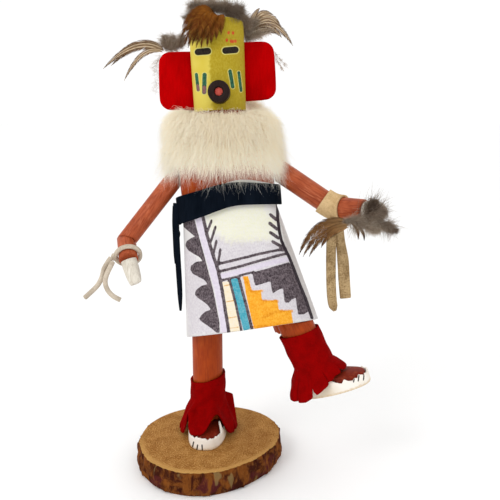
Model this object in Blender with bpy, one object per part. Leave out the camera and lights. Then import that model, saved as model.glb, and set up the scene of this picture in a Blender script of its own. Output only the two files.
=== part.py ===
"""A carved kachina doll dancing on a slice of log, dressed in leather, suede, fur and feathers.

Metres, +Z up, the doll faces -Y. The origin is the centre of the log's underside.
"""

import math

import bmesh
import bpy
from mathutils import Euler, Matrix, Vector

# Fit between pieces that touch
GAP = 0.0003

# The slice of log
LOG_RADIUS = 0.0525
LOG_THICKNESS = 0.018
LOG_WAVES = ((1, 0.047, 110), (2, 0.047, 46), (3, 0.020, 18))
BARK_RELIEF = 0.0010
BARK_LEVELS = ((0.0, -1.0), (0.10, 0.3), (0.52, 0.9), (0.93, 0.0), (1.0, -0.8))
LOG_SIDES = 48

# The figure's pose is written in parts of its height, from the log's top to its feather tips
FIGURE_HEIGHT = 0.312
PART = FIGURE_HEIGHT / 312

# Wooden body
STANDING_LEG_DIAMETER = 0.0230
RAISED_LEG_DIAMETER = 0.0248
TORSO_WIDTH = 0.0660
TORSO_DEPTH = 0.0400
RIGHT_ARM_DIAMETER = 0.0134
LEFT_ARM_DIAMETER = 0.0156
HAND_LENGTH = 0.0170
HAND_FINGERS = 4
HEAD_TOP_DIAMETER = 0.0344
HEAD_CHIN_DIAMETER = 0.0316

# Feet
FOOT_LENGTH = 0.0522
FOOT_WIDTH = 0.0280
HEEL_BEHIND_ANKLE = 0.0203
INSTEP_HEIGHT = 0.0120
BAND_HEIGHT = 0.0085
BAND_THICKNESS = 0.0012

# Leather and cloth
WRAP_THICKNESS = 0.0013
WRAP_HEIGHT = 0.0450
KILT_THICKNESS = 0.0014
SASH_THICKNESS = 0.0016
SASH_HEIGHT = 0.0165
SASH_TAIL_WIDTH = 0.0046
CUFF_THICKNESS = 0.0014
CUFF_LENGTH = 0.0170
STRIP_THICKNESS = 0.0013
STRIP_WIDTH = 0.0072
LACE_DIAMETER = 0.0034

# Head
MASK_THICKNESS = 0.0016
MASK_HEIGHT = 0.0588
EAR_WIDTH = 0.0274
EAR_HEIGHT = 0.0408
EAR_THICKNESS = 0.0050
EAR_CORNER = 0.0085
SNOUT_DIAMETER = 0.0150
SNOUT_LENGTH = 0.0140
SNOUT_BORE = 0.0062
CORE_RECESS = 0.0016

# Fur and feathers
FUR_LOCKS = 13
FUR_LOCK_DEPTH = 0.0022
FEATHER_THICKNESS = 0.0008

# Colours
SALMON = (0.60, 0.17, 0.07)
RUST = (0.36, 0.08, 0.015)
CREAM = (0.80, 0.76, 0.64)
RED = (0.34, 0.0, 0.0)
YELLOW = (0.75, 0.60, 0.03)
TAN = (0.60, 0.48, 0.28)
NAVY = (0.004, 0.008, 0.02)
BROWN_FEATHER = (0.22, 0.10, 0.03)


def pose(x, y, z):
    """A point of the pose, given in parts of the figure's height above the log."""
    return Vector((x, y, z)) * PART


# Angles of the pose
RIGHT_FOOT_TURN = 3.4
LEFT_FOOT_TURN = 79.0
LEFT_FOOT_TOE_UP = 19.0
TORSO_ROLL = -5.0
TORSO_LEAN = -3.0
HEAD_ROLL = -2.5
HEAD_LEAN = -5.0


def leaning(lean, roll):
    """How a block of the body leans from the figure's upright; angles in degrees."""
    angles = (lean, 0, 0), (0, roll, 0)
    first, second = (Euler([math.radians(a) for a in angle]).to_matrix() for angle in angles)
    return second @ first


def beside_torso(side, out, along, height):
    """A point at a distance out from one of the torso's sides, in the figure's frame."""
    place = Vector((side * (TORSO_WIDTH / 2 + out), along, height))
    return WAIST + leaning(TORSO_LEAN, TORSO_ROLL) @ place


# Joints of the pose
RIGHT_ANKLE = pose(-1.6, 11.0, 0.0)
LEFT_ANKLE = pose(83.4, -28.0, 51.0)
LEFT_SHIN_TOP = pose(59.5, -20.4, 101.4)
LEFT_HIP = pose(36.0, 5.0, 157.0)
LEFT_THIGH_END = pose(59.0, -8.5, 91.5)
WAIST = pose(14.6, 10.0, 187.0)
RIGHT_SHOULDER = beside_torso(-1, GAP, -0.73 * PART, 13.94 * PART)
RIGHT_ELBOW = pose(-57.0, 0.0, 151.3)
RIGHT_WRIST = pose(-53.0, -17.0, 141.6)
LEFT_SHOULDER = beside_torso(1, 2 * GAP, -0.45 * PART, 12.31 * PART)
LEFT_ELBOW = pose(88.2, 0.0, 175.2)
LEFT_WRIST = pose(107.5, -15.5, 175.4)
NECK = pose(10.4, 16.0, 214.0)

# Torso and kilt, on the frame at the waist
TORSO_SIDES = 32
SQUARENESS = 4.0
TORSO_BELOW_WAIST = pose(0, 0, 21.0).z
TORSO_ABOVE_WAIST = pose(0, 0, 27.0).z
TORSO_EDGE = 0.0025
KILT_HEM_CENTRE = pose(31.0, -3.0, 0.0)
KILT_HEM_HALF_WIDTH = pose(48.0, 0, 0).x
KILT_HEM_HALF_DEPTH = pose(39.0, 0, 0).x
KILT_HEM_TURN = -17.0
KILT_HEM_HEIGHT = pose(0, 0, 82.3).z
KILT_HEM_RISE = (0.15, -0.31)
SASH_DROP = 0.0105
KILT_MARGIN = 0.0006
SASH_KNOT_SIZE = (0.0028, 0.0040, 0.0044)
SASH_KNOT_ROOM = 1.2
SASH_KNOT_ALONG = -9.6 * PART
SASH_TAILS = {
    "sash_tail_long": (
        (0.6, -0.6, -5.9),
        (0.9, -1.0, -15.1),
        (1.4, -1.2, -32.6),
        (1.5, -1.2, -53.4),
    ),
    "sash_tail_short": (
        (-0.8, 3.3, -5.9),
        (-1.2, 3.4, -10.2),
        (-1.1, 3.5, -16.1),
        (-0.8, 3.5, -21.3),
    ),
}

# Feet and wraps; a tongue of a wrap's hem is its angle, how far out it reaches and its height
FOOT_SIDES = 24
WRAP_SIDES = 26
WRAP_LEVELS = (0.0, 0.33, 0.66, 1.0, 2.0)
WRAP_LEAST_FLARE = 0.004
NOTCH_DEPTH = 13.0
NOTCH_IN = 0.20
FULL_NOTCH_SPAN = 45
STANDING_TONGUES = (
    (-104, 22.5, 11.6),
    (-40, 16.5, 12.5),
    (-8, 17.2, 1.2),
    (38, 24.0, 1.4),
    (92, 25.0, 1.4),
    (135, 24.0, 1.4),
    (172, 21.5, 1.2),
    (200, 18.5, 4.0),
)
RAISED_TONGUES = (
    (-92, 19.5, 12.8),
    (-45, 17.5, 13.0),
    (5, 17.5, 9.5),
    (60, 22.0, 3.0),
    (100, 24.5, 2.0),
    (130, 21.5, 3.5),
    (168, 17.5, 9.5),
    (215, 17.5, 12.6),
)
STANDING_WRAP = (STANDING_TONGUES, (0.0030, 0.0005, 0.0), 30.0)
RAISED_WRAP = (RAISED_TONGUES, (-0.0010, 0.0, 0.0), 22.0)

# Hands; a section is its place along the hand, its width and its depth
HAND_SECTIONS = (
    (0, 0.88, 0.80),
    (0.25, 0.98, 0.80),
    (0.65, 1.0, 0.72),
    (0.93, 0.92, 0.58),
    (1, 0.78, 0.46),
)
FINGER_GROOVE = 0.20
LEFT_HAND_SCALE = (0.92, 0.92, 0.82)

# Lace, cuff and strips; a strip is its name, its route and the rows that its point takes
LACE_BACK = 0.0042
LACE_KNOT = pose(-62.6, -16.8, 142.0)
LACE_KNOT_SIZE = (0.0026, 0.0026, 0.0026)
LACE_TAILS = {
    "lace_tail_long": (
        (-66.6, -20.3, 140.6),
        (-69.4, -20.8, 135.9),
        (-71.0, -21.0, 130.3),
        (-74.0, -21.0, 124.7),
        (-78.7, -20.6, 119.9),
        (-83.6, -20.0, 115.4),
    ),
    "lace_tail_short": (
        (-64.8, -24.1, 137.4),
        (-67.0, -24.8, 132.7),
        (-68.1, -25.0, 127.8),
        (-66.8, -25.0, 122.5),
        (-63.3, -24.8, 118.0),
        (-58.4, -24.2, 114.9),
    ),
}
CUFF_SIDES = 18
CUFF_STRIPS = (
    (
        "cuff_strip_long",
        (
            (87.4, -11.0, 159.4),
            (86.8, -12.4, 150.0),
            (86.2, -13.0, 131.0),
            (87.6, -13.0, 112.0),
            (91.2, -13.0, 101.0),
        ),
        3,
    ),
    (
        "cuff_strip_short",
        ((95.6, -9.0, 160.4), (95.2, -10.2, 150.0), (95.6, -10.8, 131.0), (97.6, -11.0, 113.0)),
        1,
    ),
)

# Head, on the frame at the neck; an ear is its side, depth and height, share of width and tilt
HEAD_HEIGHT = pose(0, 0, 85.2).z
HEAD_START = 2.5 * GAP + 0.0008
MASK_BROW_ARCH = 0.0022
SNOUT_HEIGHT = pose(0, 0, 37.6).z
SNOUT_ASIDE = pose(0.9, 0, 0).x
SNOUT_EDGE = 0.0008
EARS = {
    "ear_right": (-1, (6.2, 49.2), 1.0, 2.0),
    "ear_left": (1, (6.2, 53.6), 0.907, -1.0),
}
EAR_SINK = 0.0013
CORNER_STEPS = 4
EAR_INNER_CORNER = 0.0015
EAR_EDGE = 0.0012

# Fur collar; its section runs from the inner edge over the top and back underneath
FUR_CENTRE = pose(11.0, 11.5, 214.0)
FUR_COLUMNS = 32
FUR_INNER = 12.0
FUR_REACH = (40.5, 41.5, 36.0, 34.0)
FUR_BOTTOM = (-12.0, -24.0)
FUR_TOP = 30.5
FUR_SWAY = 7.0
FUR_SECTION = (
    (0.00, 1.00),
    (0.50, 1.04),
    (0.80, 0.98),
    (0.94, 0.80),
    (1.00, 0.52),
    (1.00, 0.26),
    (0.92, 0.00),
    (0.76, 0.10),
    (0.40, 0.30),
    (0.00, 0.42),
)

# Feathers; a puff is its centre, half sizes, lumps and turn, a blade its root, pull, tip and width
BLADE_ROWS = 6
HAND_PUFF = ((114.5, -24.5, 174.5), (0.0155, 0.0125, 0.0135), 4.5, 0.7)
CROWN_PUFF = ((0.5, 2.0, 89.7), (0.0200, 0.0170, 0.0072), 4.0, 0.4)
RIGHT_PUFF = ((-29.0, 14.0, 68.5), (0.0095, 0.0048, 0.0085), 4.0, 1.9)
LEFT_PUFF = ((21.5, 14.6, 79.0), (0.0085, 0.0050, 0.0070), 4.0, 3.1)
HAND_BLADES = (
    ((104.5, -30.0, 172.5), (76.0, -30.0, 172.0), (63.0, -28.0, 146.0), 6.5),
    ((104.5, -31.2, 171.5), (82.0, -31.4, 170.0), (69.0, -29.6, 143.6), 5.0),
    ((104.5, -32.4, 170.5), (87.0, -32.8, 167.0), (75.0, -31.2, 150.0), 4.5),
    ((104.5, -28.8, 173.5), (84.0, -28.6, 174.5), (66.5, -26.4, 158.0), 5.0),
)
CROWN_BLADES = (
    ((4.0, -2.0, 90.7), (-12.0, -33.0, 100.0), (-23.5, -22.0, 68.0), 7.0),
    ((5.0, -3.2, 91.7), (-5.0, -36.0, 101.0), (-15.0, -25.5, 66.0), 6.5),
    ((6.0, -4.4, 92.7), (2.0, -38.0, 102.0), (-6.5, -27.5, 69.0), 6.0),
    ((7.0, -5.6, 93.7), (12.0, -34.0, 103.0), (6.0, -27.0, 77.0), 5.5),
)
RIGHT_BLADES = (
    ((-26.0, 12.0, 66.5), (-56.0, 12.0, 77.0), (-77.5, 8.0, 57.0), 7.0),
    ((-26.0, 13.2, 65.5), (-50.0, 13.4, 70.0), (-62.5, 11.0, 48.5), 6.0),
    ((-26.0, 14.4, 67.5), (-50.0, 14.8, 80.0), (-67.5, 12.5, 62.5), 6.0),
    ((-26.0, 15.6, 68.5), (-38.0, 16.0, 80.0), (-50.5, 14.0, 80.5), 5.0),
)
LEFT_BLADES = (
    ((21.0, 12.2, 77.5), (41.0, 12.0, 90.0), (52.5, 9.0, 69.0), 6.0),
    ((21.0, 13.4, 78.5), (37.0, 13.4, 92.0), (45.0, 11.0, 80.0), 5.0),
    ((21.0, 14.6, 79.5), (33.0, 14.8, 92.5), (43.0, 12.5, 84.5), 5.0),
    ((21.0, 15.8, 80.5), (27.0, 16.0, 93.0), (33.5, 14.0, 93.0), 4.5),
)


def finish_of(name, colour, roughness):
    """A painted, leather or fur finish; nothing on the doll is metal."""
    finish = bpy.data.materials.get(name) or bpy.data.materials.new(name)
    finish.use_nodes = True
    shader = finish.node_tree.nodes["Principled BSDF"]
    shader.inputs["Base Color"].default_value = (*colour, 1.0)
    shader.inputs["Roughness"].default_value = roughness
    shader.inputs["Metallic"].default_value = 0.0
    return finish


def add_object(name, bm, finish, parent=None, smooth=30):
    """Turn a bmesh into a named object with its material."""
    mesh = bpy.data.meshes.new(name)
    bm.to_mesh(mesh)
    bm.free()
    if smooth:
        mesh.shade_smooth()
        mesh.set_sharp_from_angle(angle=math.radians(smooth))
    obj = bpy.data.objects.new(name, mesh)
    bpy.context.scene.collection.objects.link(obj)
    obj.data.materials.append(finish)
    obj.parent = parent
    return obj


def add_empty(name, location=(0, 0, 0), rotation=(0, 0, 0), parent=None):
    """A frame that pieces are placed in; angles in degrees."""
    empty = bpy.data.objects.new(name, None)
    empty.location = location
    empty.rotation_euler = Euler([math.radians(angle) for angle in rotation])
    empty.parent = parent
    bpy.context.scene.collection.objects.link(empty)
    return empty


def as_cutter(obj):
    """Keep an object as a guide that isn't part of the doll."""
    obj.hide_render = True
    obj.display_type = "WIRE"
    return obj


def cut(obj, cutter, operation="DIFFERENCE"):
    """Cut an object by another, or fuse the other to it."""
    modifier = obj.modifiers.new(operation.title(), "BOOLEAN")
    modifier.operation = operation
    modifier.solver = "EXACT"
    modifier.use_hole_tolerant = True
    modifier.object = cutter
    as_cutter(cutter)


def solidify(obj, thickness, offset=1.0):
    """Give an open surface its wall."""
    modifier = obj.modifiers.new("Solidify", "SOLIDIFY")
    modifier.thickness = thickness
    modifier.offset = offset


def skin(rings, capped=True, looped=False):
    """A surface through rings of points, counter-clockwise and rising, so that it faces out."""
    bm = bmesh.new()
    loops = [[bm.verts.new(point) for point in ring] for ring in rings]
    pairs = list(zip(loops, loops[1:]))
    if looped:
        pairs.append((loops[-1], loops[0]))
    for low, high in pairs:
        for i in range(len(low)):
            j = (i + 1) % len(low)
            bm.faces.new((low[i], low[j], high[j], high[i]))
    if capped and not looped:
        bm.faces.new(reversed(loops[0]))
        bm.faces.new(loops[-1])
    if capped or looped:
        bmesh.ops.recalc_face_normals(bm, faces=bm.faces)
    return bm


def sheet(rows):
    """An open surface through rows of points."""
    bm = bmesh.new()
    lines = [[bm.verts.new(point) for point in row] for row in rows]
    for near, far in zip(lines, lines[1:]):
        for i in range(len(near) - 1):
            bm.faces.new((near[i], near[i + 1], far[i + 1], far[i]))
    return bm


def circle(radius, sides=20, z=0.0):
    """Points of a level circle, counter-clockwise."""
    turns = [math.tau * i / sides for i in range(sides)]
    return [Vector((radius * math.cos(a), radius * math.sin(a), z)) for a in turns]


def mix(a, b, share):
    """The value or point a share of the way from a to b."""
    return a + (b - a) * share


def ease(share):
    """A share from 0 to 1 with level ends."""
    return share * share * (3 - 2 * share)


def bezier(start, pull, end, share):
    """A point on the curve that leaves start towards pull and reaches end from it."""
    return mix(mix(start, pull, share), mix(pull, end, share), share)


def smooth_route(points, steps):
    """Points along a smooth curve through the given ones, with steps in each stretch."""
    route = []
    for i in range(len(points) - 1):
        before = points[max(i - 1, 0)]
        start, end = points[i], points[i + 1]
        after = points[min(i + 2, len(points) - 1)]
        for k in range(steps):
            t = k / steps
            route.append(
                0.5
                * (
                    2 * start
                    + (end - before) * t
                    + (2 * before - 5 * start + 4 * end - after) * t**2
                    + (3 * start - before - 3 * end + after) * t**3
                )
            )
    return route + [points[-1]]


def limb_mesh(axis, length, radius, low_normal, high_normal, sides=18):
    """A dowel along local Z whose ends are cut on the given planes."""
    to_local = axis.to_track_quat("Z", "Y").inverted()
    rings = []
    for z, normal in ((0.0, low_normal), (length, high_normal)):
        plane = to_local @ normal
        ring = circle(radius, sides, z)
        for point in ring:
            point.z -= (plane.x * point.x + plane.y * point.y) / plane.z
        rings.append(ring)
    return skin(rings)


def add_limb(name, start, end, diameter, finish, parent, cuts=(None, None), margin=0.0):
    """A dowel from start to end; cuts are the normals of its end planes, square where None."""
    axis = (end - start).normalized()
    low, high = (normal or axis for normal in cuts)
    bm = limb_mesh(axis, (end - start).length, diameter / 2 + margin, low, high)
    obj = add_object(name, bm, finish, parent)
    obj.location = start
    obj.rotation_mode = "QUATERNION"
    obj.rotation_quaternion = axis.to_track_quat("Z", "Y")
    return obj


def mitre(start, joint, end):
    """The normal of the plane that halves the bend at a joint."""
    return ((joint - start).normalized() + (end - joint).normalized()).normalized()


def add_blade(name, shape, facing, finish, parent):
    """A feather's vane: a thin leaf from root to tip, bent towards its pull and cupped."""
    root, pull, tip = (pose(*place) for place in shape[:3])
    width = pose(shape[3], 0, 0).x
    lines = []
    for i in range(BLADE_ROWS):
        share = i / (BLADE_ROWS - 1)
        point = bezier(root, pull, tip, share)
        ahead = bezier(root, pull, tip, min(share + 0.02, 1.0)) - bezier(
            root, pull, tip, max(share - 0.02, 0.0)
        )
        side = ahead.cross(facing).normalized()
        swell = math.sin(math.pi * min(1.0, 0.12 + 0.86 * share)) ** 0.7
        half = 0.5 * width * max(swell, 0.16)
        lift = facing.normalized() * (0.12 * half)
        lines.append([point - side * half, point + lift, point + side * half])
    obj = add_object(name, sheet(lines), finish, parent)
    solidify(obj, FEATHER_THICKNESS, 0.0)
    return obj


def add_fluff(name, centre, half_sizes, lumps, finish, parent, turn=0.0):
    """A ball of down: an egg-shaped body with soft lumps."""
    bm = bmesh.new()
    bmesh.ops.create_icosphere(bm, subdivisions=2, radius=1.0)
    for vert in bm.verts:
        x, y, z = vert.co
        swell = 1 + 0.10 * math.sin(lumps * x + 1.3) * math.cos(lumps * y + turn)
        swell += 0.08 * math.sin(lumps * 1.4 * z + turn + 2 * x)
        vert.co = Vector((x * half_sizes[0], y * half_sizes[1], z * half_sizes[2])) * swell
    obj = add_object(name, bm, finish, parent)
    obj.location = centre
    return obj


def log_radius(turn):
    """The outline of the slice in the direction of an angle."""
    wave = sum(share * math.cos(k * (turn - math.radians(at))) for k, share, at in LOG_WAVES)
    return LOG_RADIUS * (1 + wave)


def build_log():
    """The slice of log, with furrowed bark round its edge."""
    rings = []
    for height, swell in BARK_LEVELS:
        ring = []
        for i in range(LOG_SIDES):
            turn = math.tau * i / LOG_SIDES
            furrow = math.sin(11 * turn + 4 * height) + 0.6 * math.sin(23 * turn - 5 * height)
            out = log_radius(turn) + BARK_RELIEF * (swell + 0.6 * furrow * (0 < height < 1))
            ring.append((out * math.cos(turn), out * math.sin(turn), height * LOG_THICKNESS))
        rings.append(ring)
    add_object("log_base", skin(rings), finish_of("log_wood", (0.43, 0.22, 0.09), 0.7))


def foot_outline(inset, height):
    """The foot's outline at a height, drawn in from the band's outer face."""
    length, width = FOOT_LENGTH / 2 - inset, FOOT_WIDTH / 2 - inset
    centre = HEEL_BEHIND_ANKLE - FOOT_LENGTH / 2
    points = []
    for i in range(FOOT_SIDES):
        turn = math.tau * i / FOOT_SIDES
        along = math.sin(turn)
        narrow = 1 - 0.10 * max(along, 0.0)
        across = math.copysign(abs(math.cos(turn)) ** 0.72, math.cos(turn))
        points.append(Vector((width * across * narrow, centre + length * along, height)))
    return points


def build_foot(side, frame, leg_diameter, slope):
    """A carved foot, and the pale leather band of the moccasin round its edge."""
    inset = BAND_THICKNESS + GAP
    instep = circle(leg_diameter / 2 + WRAP_THICKNESS, FOOT_SIDES, INSTEP_HEIGHT)
    for point in instep:
        point += slope * INSTEP_HEIGHT
    shoulder = foot_outline(inset, 0.82 * BAND_HEIGHT)
    crown = foot_outline(inset + 0.0016, 0.98 * BAND_HEIGHT)
    rings = [foot_outline(inset, 0.0), shoulder, crown]
    for share in (0.45, 0.8):
        ring = [mix(low, high, share) for low, high in zip(crown, instep)]
        rings.append(ring)
    rings.append(instep)
    bm = skin(rings)
    add_object(f"foot_{side}", bm, finish_of("foot_wood", (0.24, 0.05, 0.015), 0.6), frame)
    walls = [foot_outline(BAND_THICKNESS, share * BAND_HEIGHT) for share in (0.0, 1.0)]
    band = add_object(
        f"moccasin_band_{side}",
        skin(walls, capped=False),
        finish_of("band_leather", CREAM, 0.75),
        frame,
    )
    solidify(band, BAND_THICKNESS)


def hem_of_wrap(turn, tongues):
    """How far out and how high the fringed hem lies in the direction of an angle in degrees."""
    ordered = sorted((at % 360, out, height) for at, out, height in tongues)
    for this, following in zip(ordered, ordered[1:] + ordered[:1]):
        span = (following[0] - this[0]) % 360
        place = (turn - this[0]) % 360
        if place <= span:
            break
    share = place / span
    notch = math.sin(math.pi * share) ** 3 * min(1.0, span / FULL_NOTCH_SPAN)
    out = mix(this[1], following[1], share) * (1 - NOTCH_IN * notch)
    return out, mix(this[2], following[2], share) + NOTCH_DEPTH * notch


def build_wrap(side, frame, leg_diameter, slope, shape):
    """The red suede wrap: a sleeve on the shin whose lower edge is cut into spreading tongues."""
    tongues, rim_tilt, flare_height = shape
    inner = (leg_diameter / 2 + GAP) * math.hypot(1.0, slope.length)
    rings = [[] for _ in WRAP_LEVELS]
    for i in range(WRAP_SIDES):
        turn = math.tau * i / WRAP_SIDES
        way = Vector((math.cos(turn), math.sin(turn), 0))
        out, height = (value * PART for value in hem_of_wrap(math.degrees(turn), tongues))
        out = max(out, inner + WRAP_THICKNESS)
        flare = max(flare_height * PART, height + WRAP_LEAST_FLARE)
        top = WRAP_HEIGHT + way.dot(Vector(rim_tilt))
        for ring, share in zip(rings, WRAP_LEVELS):
            z = mix(height, flare, min(share, 1.0)) + (top - flare) * max(share - 1.0, 0.0)
            radius = mix(out, inner, ease(min(share, 1.0)) ** 0.8)
            ring.append(way * radius + slope * z + Vector((0, 0, z)))
    wrap = add_object(
        f"boot_wrap_{side}",
        skin(rings, capped=False),
        finish_of("red_suede", RED, 0.9),
        frame,
    )
    solidify(wrap, WRAP_THICKNESS)


def build_right_leg(figure, wood):
    """The leg that the doll stands on, with its foot, band and wrap."""
    frame = add_empty(
        "standing_foot",
        RIGHT_ANKLE + Vector((0, 0, GAP)),
        (0, 0, -RIGHT_FOOT_TURN),
        figure,
    )
    upright = Vector((0, 0, 0))
    build_foot("standing", frame, STANDING_LEG_DIAMETER, upright)
    build_wrap("standing", frame, STANDING_LEG_DIAMETER, upright, STANDING_WRAP)
    foot_top = RIGHT_ANKLE + Vector((0, 0, INSTEP_HEIGHT + 2 * GAP))
    hip = Vector((RIGHT_ANKLE.x, RIGHT_ANKLE.y, torso_bottom_height(RIGHT_ANKLE.x)))
    roll = leaning(TORSO_LEAN, TORSO_ROLL) @ Vector((0, 0, 1))
    cuts = (None, roll)
    add_limb("leg_standing", foot_top, hip, STANDING_LEG_DIAMETER, wood, figure, cuts)


def build_left_leg(figure, wood):
    """The raised leg: thigh, coped shin, and the foot with its band and wrap."""
    frame = add_empty(
        "raised_foot",
        LEFT_ANKLE,
        (-LEFT_FOOT_TOE_UP, 0, LEFT_FOOT_TURN),
        figure,
    )
    rotation = frame.rotation_euler.to_matrix()
    sole_up = rotation @ Vector((0, 0, 1))
    shin = (LEFT_SHIN_TOP - LEFT_ANKLE).normalized()
    in_foot = rotation.inverted() @ shin
    slope = Vector((in_foot.x, in_foot.y, 0)) / in_foot.z
    build_foot("raised", frame, RAISED_LEG_DIAMETER, slope)
    build_wrap("raised", frame, RAISED_LEG_DIAMETER, slope, RAISED_WRAP)
    ankle = LEFT_ANKLE + shin * ((INSTEP_HEIGHT + GAP) / shin.dot(sole_up))
    cuts = (sole_up, Vector((0, 0, 1)))
    shin_dowel = add_limb(
        "shin_raised", ankle, LEFT_SHIN_TOP, RAISED_LEG_DIAMETER, wood, figure, cuts
    )
    hip = Vector(LEFT_HIP)
    thigh = (LEFT_HIP - LEFT_THIGH_END).normalized()
    hip += thigh * ((torso_bottom_height(hip.x) - hip.z) / thigh.z)
    roll = leaning(TORSO_LEAN, TORSO_ROLL) @ Vector((0, 0, 1))
    cuts = (Vector((-0.45, 0, 1)).normalized(), roll)
    ends = (LEFT_THIGH_END, hip)
    add_limb("thigh_raised", *ends, RAISED_LEG_DIAMETER, wood, figure, cuts)
    cope = add_limb(
        "thigh_cope", *ends, RAISED_LEG_DIAMETER, wood, figure, cuts, margin=GAP
    )
    cut(shin_dowel, cope)


def torso_bottom_height(x):
    """The height of the torso's leaning underside over a place across the figure."""
    up = leaning(TORSO_LEAN, TORSO_ROLL) @ Vector((0, 0, 1))
    foot = WAIST - up * (TORSO_BELOW_WAIST + 2 * GAP)
    return foot.z - up.x * (x - foot.x) / up.z


def build_torso(body, wood):
    """The body: one block of wood."""
    add_object("torso", torso_mesh(), wood, body)


def torso_mesh(margin=0.0):
    """The torso's block, its top edge rounded, in the frame at the waist."""
    low, high = -TORSO_BELOW_WAIST - margin, TORSO_ABOVE_WAIST + margin
    levels = ((low, 0.0), (high - TORSO_EDGE, 0.0), (high, -TORSO_EDGE))
    turns = [math.tau * i / TORSO_SIDES for i in range(TORSO_SIDES)]
    rings = []
    for z, inset in levels:
        rings.append([torso_outline(a, margin + inset) + Vector((0, 0, z)) for a in turns])
    return skin(rings)


def torso_outline(turn, margin):
    """Half of the torso's section in the direction of an angle, as a rounded oblong."""
    across, deep = TORSO_WIDTH / 2 + margin, TORSO_DEPTH / 2 + margin
    c, s = math.cos(turn), math.sin(turn)
    radius = (abs(c / across) ** SQUARENESS + abs(s / deep) ** SQUARENESS) ** (-1 / SQUARENESS)
    return Vector((radius * c, radius * s, 0))


def kilt_hem(turn):
    """A point of the hem, which the raised thigh pushes out and lifts."""
    c, s = math.cos(turn), math.sin(turn)
    across = Matrix.Rotation(math.radians(KILT_HEM_TURN), 3, "Z")
    level = across @ Vector((KILT_HEM_HALF_WIDTH * c, KILT_HEM_HALF_DEPTH * s, 0))
    point = KILT_HEM_CENTRE + level
    rise = KILT_HEM_RISE[0] * point.x + KILT_HEM_RISE[1] * point.y
    point.z = KILT_HEM_HEIGHT + rise
    return point


def waist_point(turn, margin, height):
    """A point round the torso at a height from the waist, in the figure's frame."""
    return WAIST + leaning(TORSO_LEAN, TORSO_ROLL) @ (torso_outline(turn, margin) + Vector((0, 0, height)))


def sash_middle(turn):
    """The height of the sash's middle from the waist: it rides up in front and to the left."""
    ride = 0.0029 * math.cos(turn) + 0.0078 * max(-math.sin(turn), 0.0) ** 1.4
    return ride - SASH_DROP


def sash_height(turn):
    """The sash's height, pulled narrower at the doll's left."""
    return SASH_HEIGHT * (1 - 0.16 * math.cos(turn))


def kilt_top(turn):
    """The height of the kilt's top edge from the waist, with a corner showing at the left front."""
    corner = 0.0028 * max(math.cos(turn + math.radians(55)), 0.0) ** 6
    return sash_middle(turn) + sash_height(turn) / 2 + KILT_MARGIN + corner


def kilt_point(turn, share):
    """A point of the kilt's inner face: -1 at its top, 0 under the sash, 1 at its hem."""
    fold = sash_middle(turn) - sash_height(turn) / 2 - KILT_MARGIN
    if share <= 0:
        return waist_point(turn, 2 * GAP, mix(fold, kilt_top(turn), -share))
    return mix(waist_point(turn, 2 * GAP, fold), kilt_hem(turn), share)


def build_kilt(figure):
    """The painted kilt: one sheet of white leather wrapped into an open, flaring tube."""
    turns = [math.tau * i / TORSO_SIDES for i in range(TORSO_SIDES)]
    shares = (1.0, 0.5, 0.0, -1.0)
    rings = [[kilt_point(turn, share) for turn in turns] for share in shares]
    kilt = add_object(
        "kilt",
        skin(rings, capped=False),
        finish_of("kilt_leather", (0.80, 0.79, 0.74), 0.7),
        figure,
    )
    solidify(kilt, KILT_THICKNESS)


def sash_knot_place():
    """The knot's middle: under the sash's low end, against the kilt's face."""
    out = 3 * GAP + KILT_THICKNESS + SASH_KNOT_ROOM * SASH_KNOT_SIZE[0]
    low = sash_middle(math.pi) - sash_height(math.pi) / 2
    height = low - GAP - SASH_KNOT_ROOM * SASH_KNOT_SIZE[2]
    return beside_torso(-1, out, SASH_KNOT_ALONG, height)


def build_sash(figure):
    """The dark sash round the kilt's top, its knot and its two hanging tails."""
    cloth = finish_of("sash_cloth", NAVY, 0.9)
    columns = TORSO_SIDES
    margin = 2 * GAP + KILT_THICKNESS + 2 * GAP
    rings = []
    for edge in (-0.5, 0.5):
        ring = []
        for i in range(columns):
            turn = math.tau * i / columns
            height = sash_middle(turn) + edge * sash_height(turn)
            ring.append(waist_point(turn, margin, height))
        rings.append(ring)
    sash = add_object("sash_band", skin(rings, capped=False), cloth, figure)
    solidify(sash, SASH_THICKNESS)
    place = sash_knot_place()
    knot = add_fluff("sash_knot", place, SASH_KNOT_SIZE, 2.0, cloth, figure)
    knot.rotation_euler = Euler((0, math.radians(8), 0))
    for name, places in SASH_TAILS.items():
        route = smooth_route([place + pose(*step) for step in places], 3)
        size = (SASH_TAIL_WIDTH, SASH_THICKNESS)
        add_strap(name, route, size, Vector((1, -0.6, 0)), cloth, figure)


def add_strap(name, route, size, side, finish, parent, point_rows=1):
    """A flat strap of a width and thickness along a route, narrowing over its last rows."""
    width, thickness = size
    side = side.normalized()
    rows = []
    for i, place in enumerate(route):
        left = len(route) - 1 - i
        half = width / 2 * (1.0 if left >= point_rows else 0.35 + 0.65 * left / point_rows)
        rows.append([place - side * half, place, place + side * half])
    obj = add_object(name, sheet(rows), finish, parent)
    solidify(obj, thickness, 0.0)
    return obj


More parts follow.
